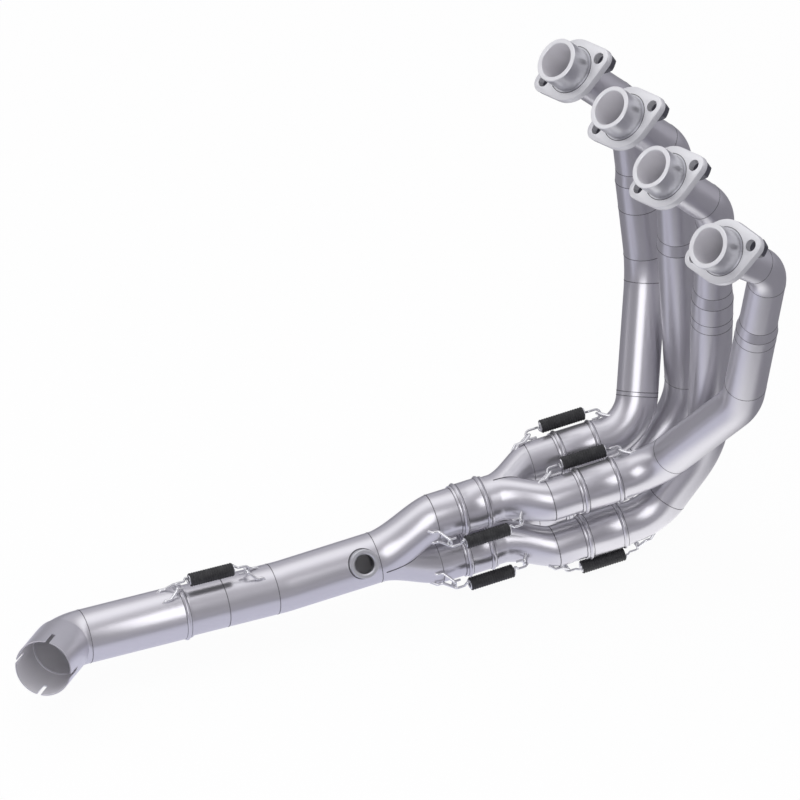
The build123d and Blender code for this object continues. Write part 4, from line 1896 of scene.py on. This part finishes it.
    def build(self, headers: HeaderSet) -> None:
        """Build the springs of every slip joint.

        Args:
            headers: Gives the places of the headers' slip joints.
        """
        lay = self.layout
        centre = lay.on_link(lay.link_length - lay.bead_width + self.link_shift)
        place = self.bench(centre, lay.forward, Vector((0, 0, 1)))
        self.joint("link", place, lay.link_od / 2, lay.tail_od / 2, self.link_lift)
        middle = lay.secondary_at + lay.secondary_sleeve / 2 + self.secondary_shift
        for name, side in (("upper", 1), ("lower", -1)):
            centre = lay.on_collector(middle, 0, side * lay.secondary_pitch / 2)
            place = self.bench(centre, lay.along, self.out(self.secondary_turn))
            radius = lay.secondary_od / 2
            self.joint("secondary_" + name, place, radius, radius, self.secondary_lift)
        middle = lay.primary_at + lay.primary_sleeve / 2 + self.primary_shift
        for number, offset in headers.seat_offsets().items():
            turn = self.upper_turn if RUNS[number].seat[1] > 0 else self.lower_turn
            place = self.bench(lay.on_collector(middle) + offset, lay.along, self.out(turn))
            self.joint("header_%d" % number, place, lay.header_od / 2, lay.header_od / 2, 0.0)


def shine(tree: Tree, colour: Colour, strength: float = 1.0) -> Term:
    """Plain light of one colour."""
    return tree.node("ShaderNodeEmission", {}, {"Color": solid(colour), "Strength": strength})


def blend(tree: Tree, share: Term, low: Term, high: Term) -> Term:
    """Shader between two shaders by a share."""
    return tree.node("ShaderNodeMixShader", {}, {0: share, 1: low, 2: high})


@dataclass(frozen=True)
class Lamp:
    """A soft square lamp that looks at the object.

    It is placed from the object's middle, in metres, and polished steel shows it where mirrored.
    """

    name: str
    place: tuple[float, float, float]
    size: float
    watts: float
    mirrored: bool

    def hang(self, middle: Vector) -> None:
        """Add the lamp.

        Args:
            middle: The object's middle.
        """
        data = bpy.data.lights.new(self.name, "AREA")
        data.size, data.energy = self.size, self.watts
        made = bpy.data.objects.new(self.name, data)
        bpy.context.scene.collection.objects.link(made)
        made.location = middle + Vector(self.place)
        made.rotation_mode = "QUATERNION"
        made.rotation_quaternion = Vector(self.place).to_track_quat("Z", "Y")
        made.visible_camera, made.visible_glossy = False, self.mirrored


@dataclass
class Studio:
    """Pale floor, soft light and the camera at the photograph's angle.

    The floor and the surroundings show white to the camera. The steel mirrors them as bands: the
    floor pale under the object, bright under its front end and dark further out, the surroundings
    dark in front, bright just behind the top and grey at the back.

    Angles are in degrees, the floor's sizes in metres and the scale in millimetres to a pixel. The
    start column and row are where the link pipe's rear end is in the picture.
    """

    layout: Layout
    elevation: float = 41.5
    heading: float = 20.7
    scale: float = 0.9
    pixels: int = 800
    lens: float = 1400.0
    near: float = 0.5
    start_column: float = 83.0
    start_row: float = 637.0
    floor_size: float = 4.0
    floor_gap: float = 0.004
    floor_paint: Colour = (0.86, 0.86, 0.87)
    floor_pale: Colour = (0.80, 0.80, 0.93)
    floor_dark: Colour = (0.26, 0.255, 0.285)
    whiteness: float = 0.95
    glow: float = 1.4
    bright_from: float = 0.42
    dim_beside: float = 0.12
    dim_beyond: float = 0.62
    dim_over: float = 0.14
    bands: tuple[tuple[float, Colour], ...] = (
        (0.0, (0.40, 0.39, 0.43)), (0.12, (0.20, 0.195, 0.21)), (0.28, (0.22, 0.215, 0.235)),
        (0.46, (0.42, 0.41, 0.43)), (0.58, (0.98, 0.98, 1.0)), (0.70, WHITE),
        (0.84, (0.40, 0.39, 0.42)), (1.0, (0.38, 0.38, 0.42)))
    lamps: tuple[Lamp, ...] = (Lamp("key", (-0.5, 0.9, 2.4), 1.6, 6.0, False),
                               Lamp("fill", (-0.8, -1.5, 1.4), 1.7, 17.0, True))

    def __post_init__(self) -> None:
        """Find the middle and the foot of the object."""
        low, high = CAD_BOX
        self.middle = (low + high) / 2
        self.ground = low.z - self.floor_gap

    def axes(self) -> tuple[Vector, Vector, Vector]:
        """Directions of the camera.

        Returns:
            The image's right, its up and the way to the viewer.
        """
        e, h = radians(self.elevation), radians(self.heading)
        right = Vector((cos(h), -sin(h), 0))
        up = Vector((sin(e) * sin(h), sin(e) * cos(h), cos(e)))
        return right, up, right.cross(up)

    def camera(self) -> None:
        """Add the camera, far off with a long lens, since the picture is a parallel view."""
        right, up, back = self.axes()
        half = self.pixels / 2
        target = self.layout.link_start + right * ((half - self.start_column) * self.scale)
        target = (target + up * ((self.start_row - half) * self.scale)) * MM
        target += back * (self.middle - target).dot(back)
        data = bpy.data.cameras.new("camera")
        data.lens = self.lens
        distance = self.pixels * self.scale * MM * self.lens / data.sensor_width
        data.clip_start, data.clip_end = self.near, distance * 2
        seen = bpy.data.objects.new("camera", data)
        bpy.context.scene.collection.objects.link(seen)
        seen.location = target + back * distance
        seen.rotation_mode = "QUATERNION"
        seen.rotation_quaternion = Matrix((right, up, back)).transposed().to_quaternion()
        bpy.context.scene.camera = seen

    def floor_finish(self) -> bpy.types.Material:
        """Make the floor's material, which keeps a soft shadow.

        Returns:
            The material.
        """
        material = bpy.data.materials.new("floor")
        material.use_nodes = True
        tree = Tree(material.node_tree)
        place = tree.node("ShaderNodeTexCoord", out="Object")
        ahead = tree.node("ShaderNodeSeparateXYZ", {}, {0: place})
        aside = tree.node("ShaderNodeMath", {"operation": "ABSOLUTE"}, {0: ahead.other("Y")})
        pale, dark = shine(tree, self.floor_pale), shine(tree, self.floor_dark)
        lit = blend(tree, ahead.rise(self.bright_from, self.dim_over), pale,
                    shine(tree, WHITE, self.glow))
        beside = aside.rise(self.dim_beside, self.dim_over)
        beyond = ahead.rise(self.dim_beyond, self.dim_over)
        mirrored = blend(tree, beside.at_least(beyond), lit, dark)
        paint = tree.node("ShaderNodeBsdfDiffuse", {}, {"Color": solid(self.floor_paint)})
        rays = tree.node("ShaderNodeLightPath", out="Is Camera Ray")
        seen = blend(tree, rays * self.whiteness, paint, shine(tree, WHITE))
        shown = blend(tree, rays.other("Is Glossy Ray"), seen, mirrored)
        tree.node("ShaderNodeOutputMaterial", {}, {0: shown})
        return material

    def floor(self) -> None:
        """Add the floor."""
        x, y, size = self.middle.x, self.middle.y, self.floor_size
        mesh = bpy.data.meshes.new("floor")
        corners = [(x + i * size, y + j * size, self.ground)
                   for i, j in ((-1, -1), (1, -1), (1, 1), (-1, 1))]
        mesh.from_pydata(corners, [], [(0, 1, 2, 3)])
        mesh.materials.append(self.floor_finish())
        made = bpy.data.objects.new("floor", mesh)
        bpy.context.scene.collection.objects.link(made)

    def world(self) -> None:
        """Add the surroundings, banded from the front over the top to the back."""
        world = bpy.data.worlds.new("studio")
        bpy.context.scene.world = world
        world.use_nodes = True
        tree = Tree(world.node_tree)
        back = self.axes()[2]
        toward = Vector((back.x, back.y, 0)).normalized()
        way = tree.node("ShaderNodeTexCoord", out="Generated")
        height = tree.node("ShaderNodeSeparateXYZ", {}, {0: way}, "Z")
        front = tree.node("ShaderNodeVectorMath", {"operation": "DOT_PRODUCT"},
                          {0: way, 1: tuple(toward)}, "Value")
        angle = tree.node("ShaderNodeMath", {"operation": "ARCTAN2"}, {0: height, 1: front})
        ramp = tree.node("ShaderNodeValToRGB", {"stops": self.bands}, {0: angle * (1 / pi)})
        light = tree.node("ShaderNodeBackground", {}, {"Color": ramp, "Strength": self.glow})
        white = tree.node("ShaderNodeBackground", {}, {"Color": solid(WHITE), "Strength": 1.0})
        rays = tree.node("ShaderNodeLightPath", out="Is Camera Ray")
        tree.node("ShaderNodeOutputWorld", {}, {0: blend(tree, rays, light, white)})

    def build(self) -> None:
        """Set the whole studio up."""
        bpy.context.scene.view_settings.view_transform = "Standard"
        self.floor()
        self.world()
        for lamp in self.lamps:
            lamp.hang(self.middle)
        self.camera()


def main() -> None:
    """Build the finishes, the sub-assemblies and the studio."""
    logging.basicConfig(level=logging.INFO, format="%(name)s %(message)s")
    for finish in FINISHES:
        finish.build()
    layout, welder = Layout(), Welder()
    headers = HeaderSet(layout)
    LinkPipe(layout).build(welder)
    Collectors(layout).build(welder, headers)
    headers.build(welder)
    SpringSet(layout).build(headers)
    Studio(layout).build()


if __name__ == "__main__":
    main()
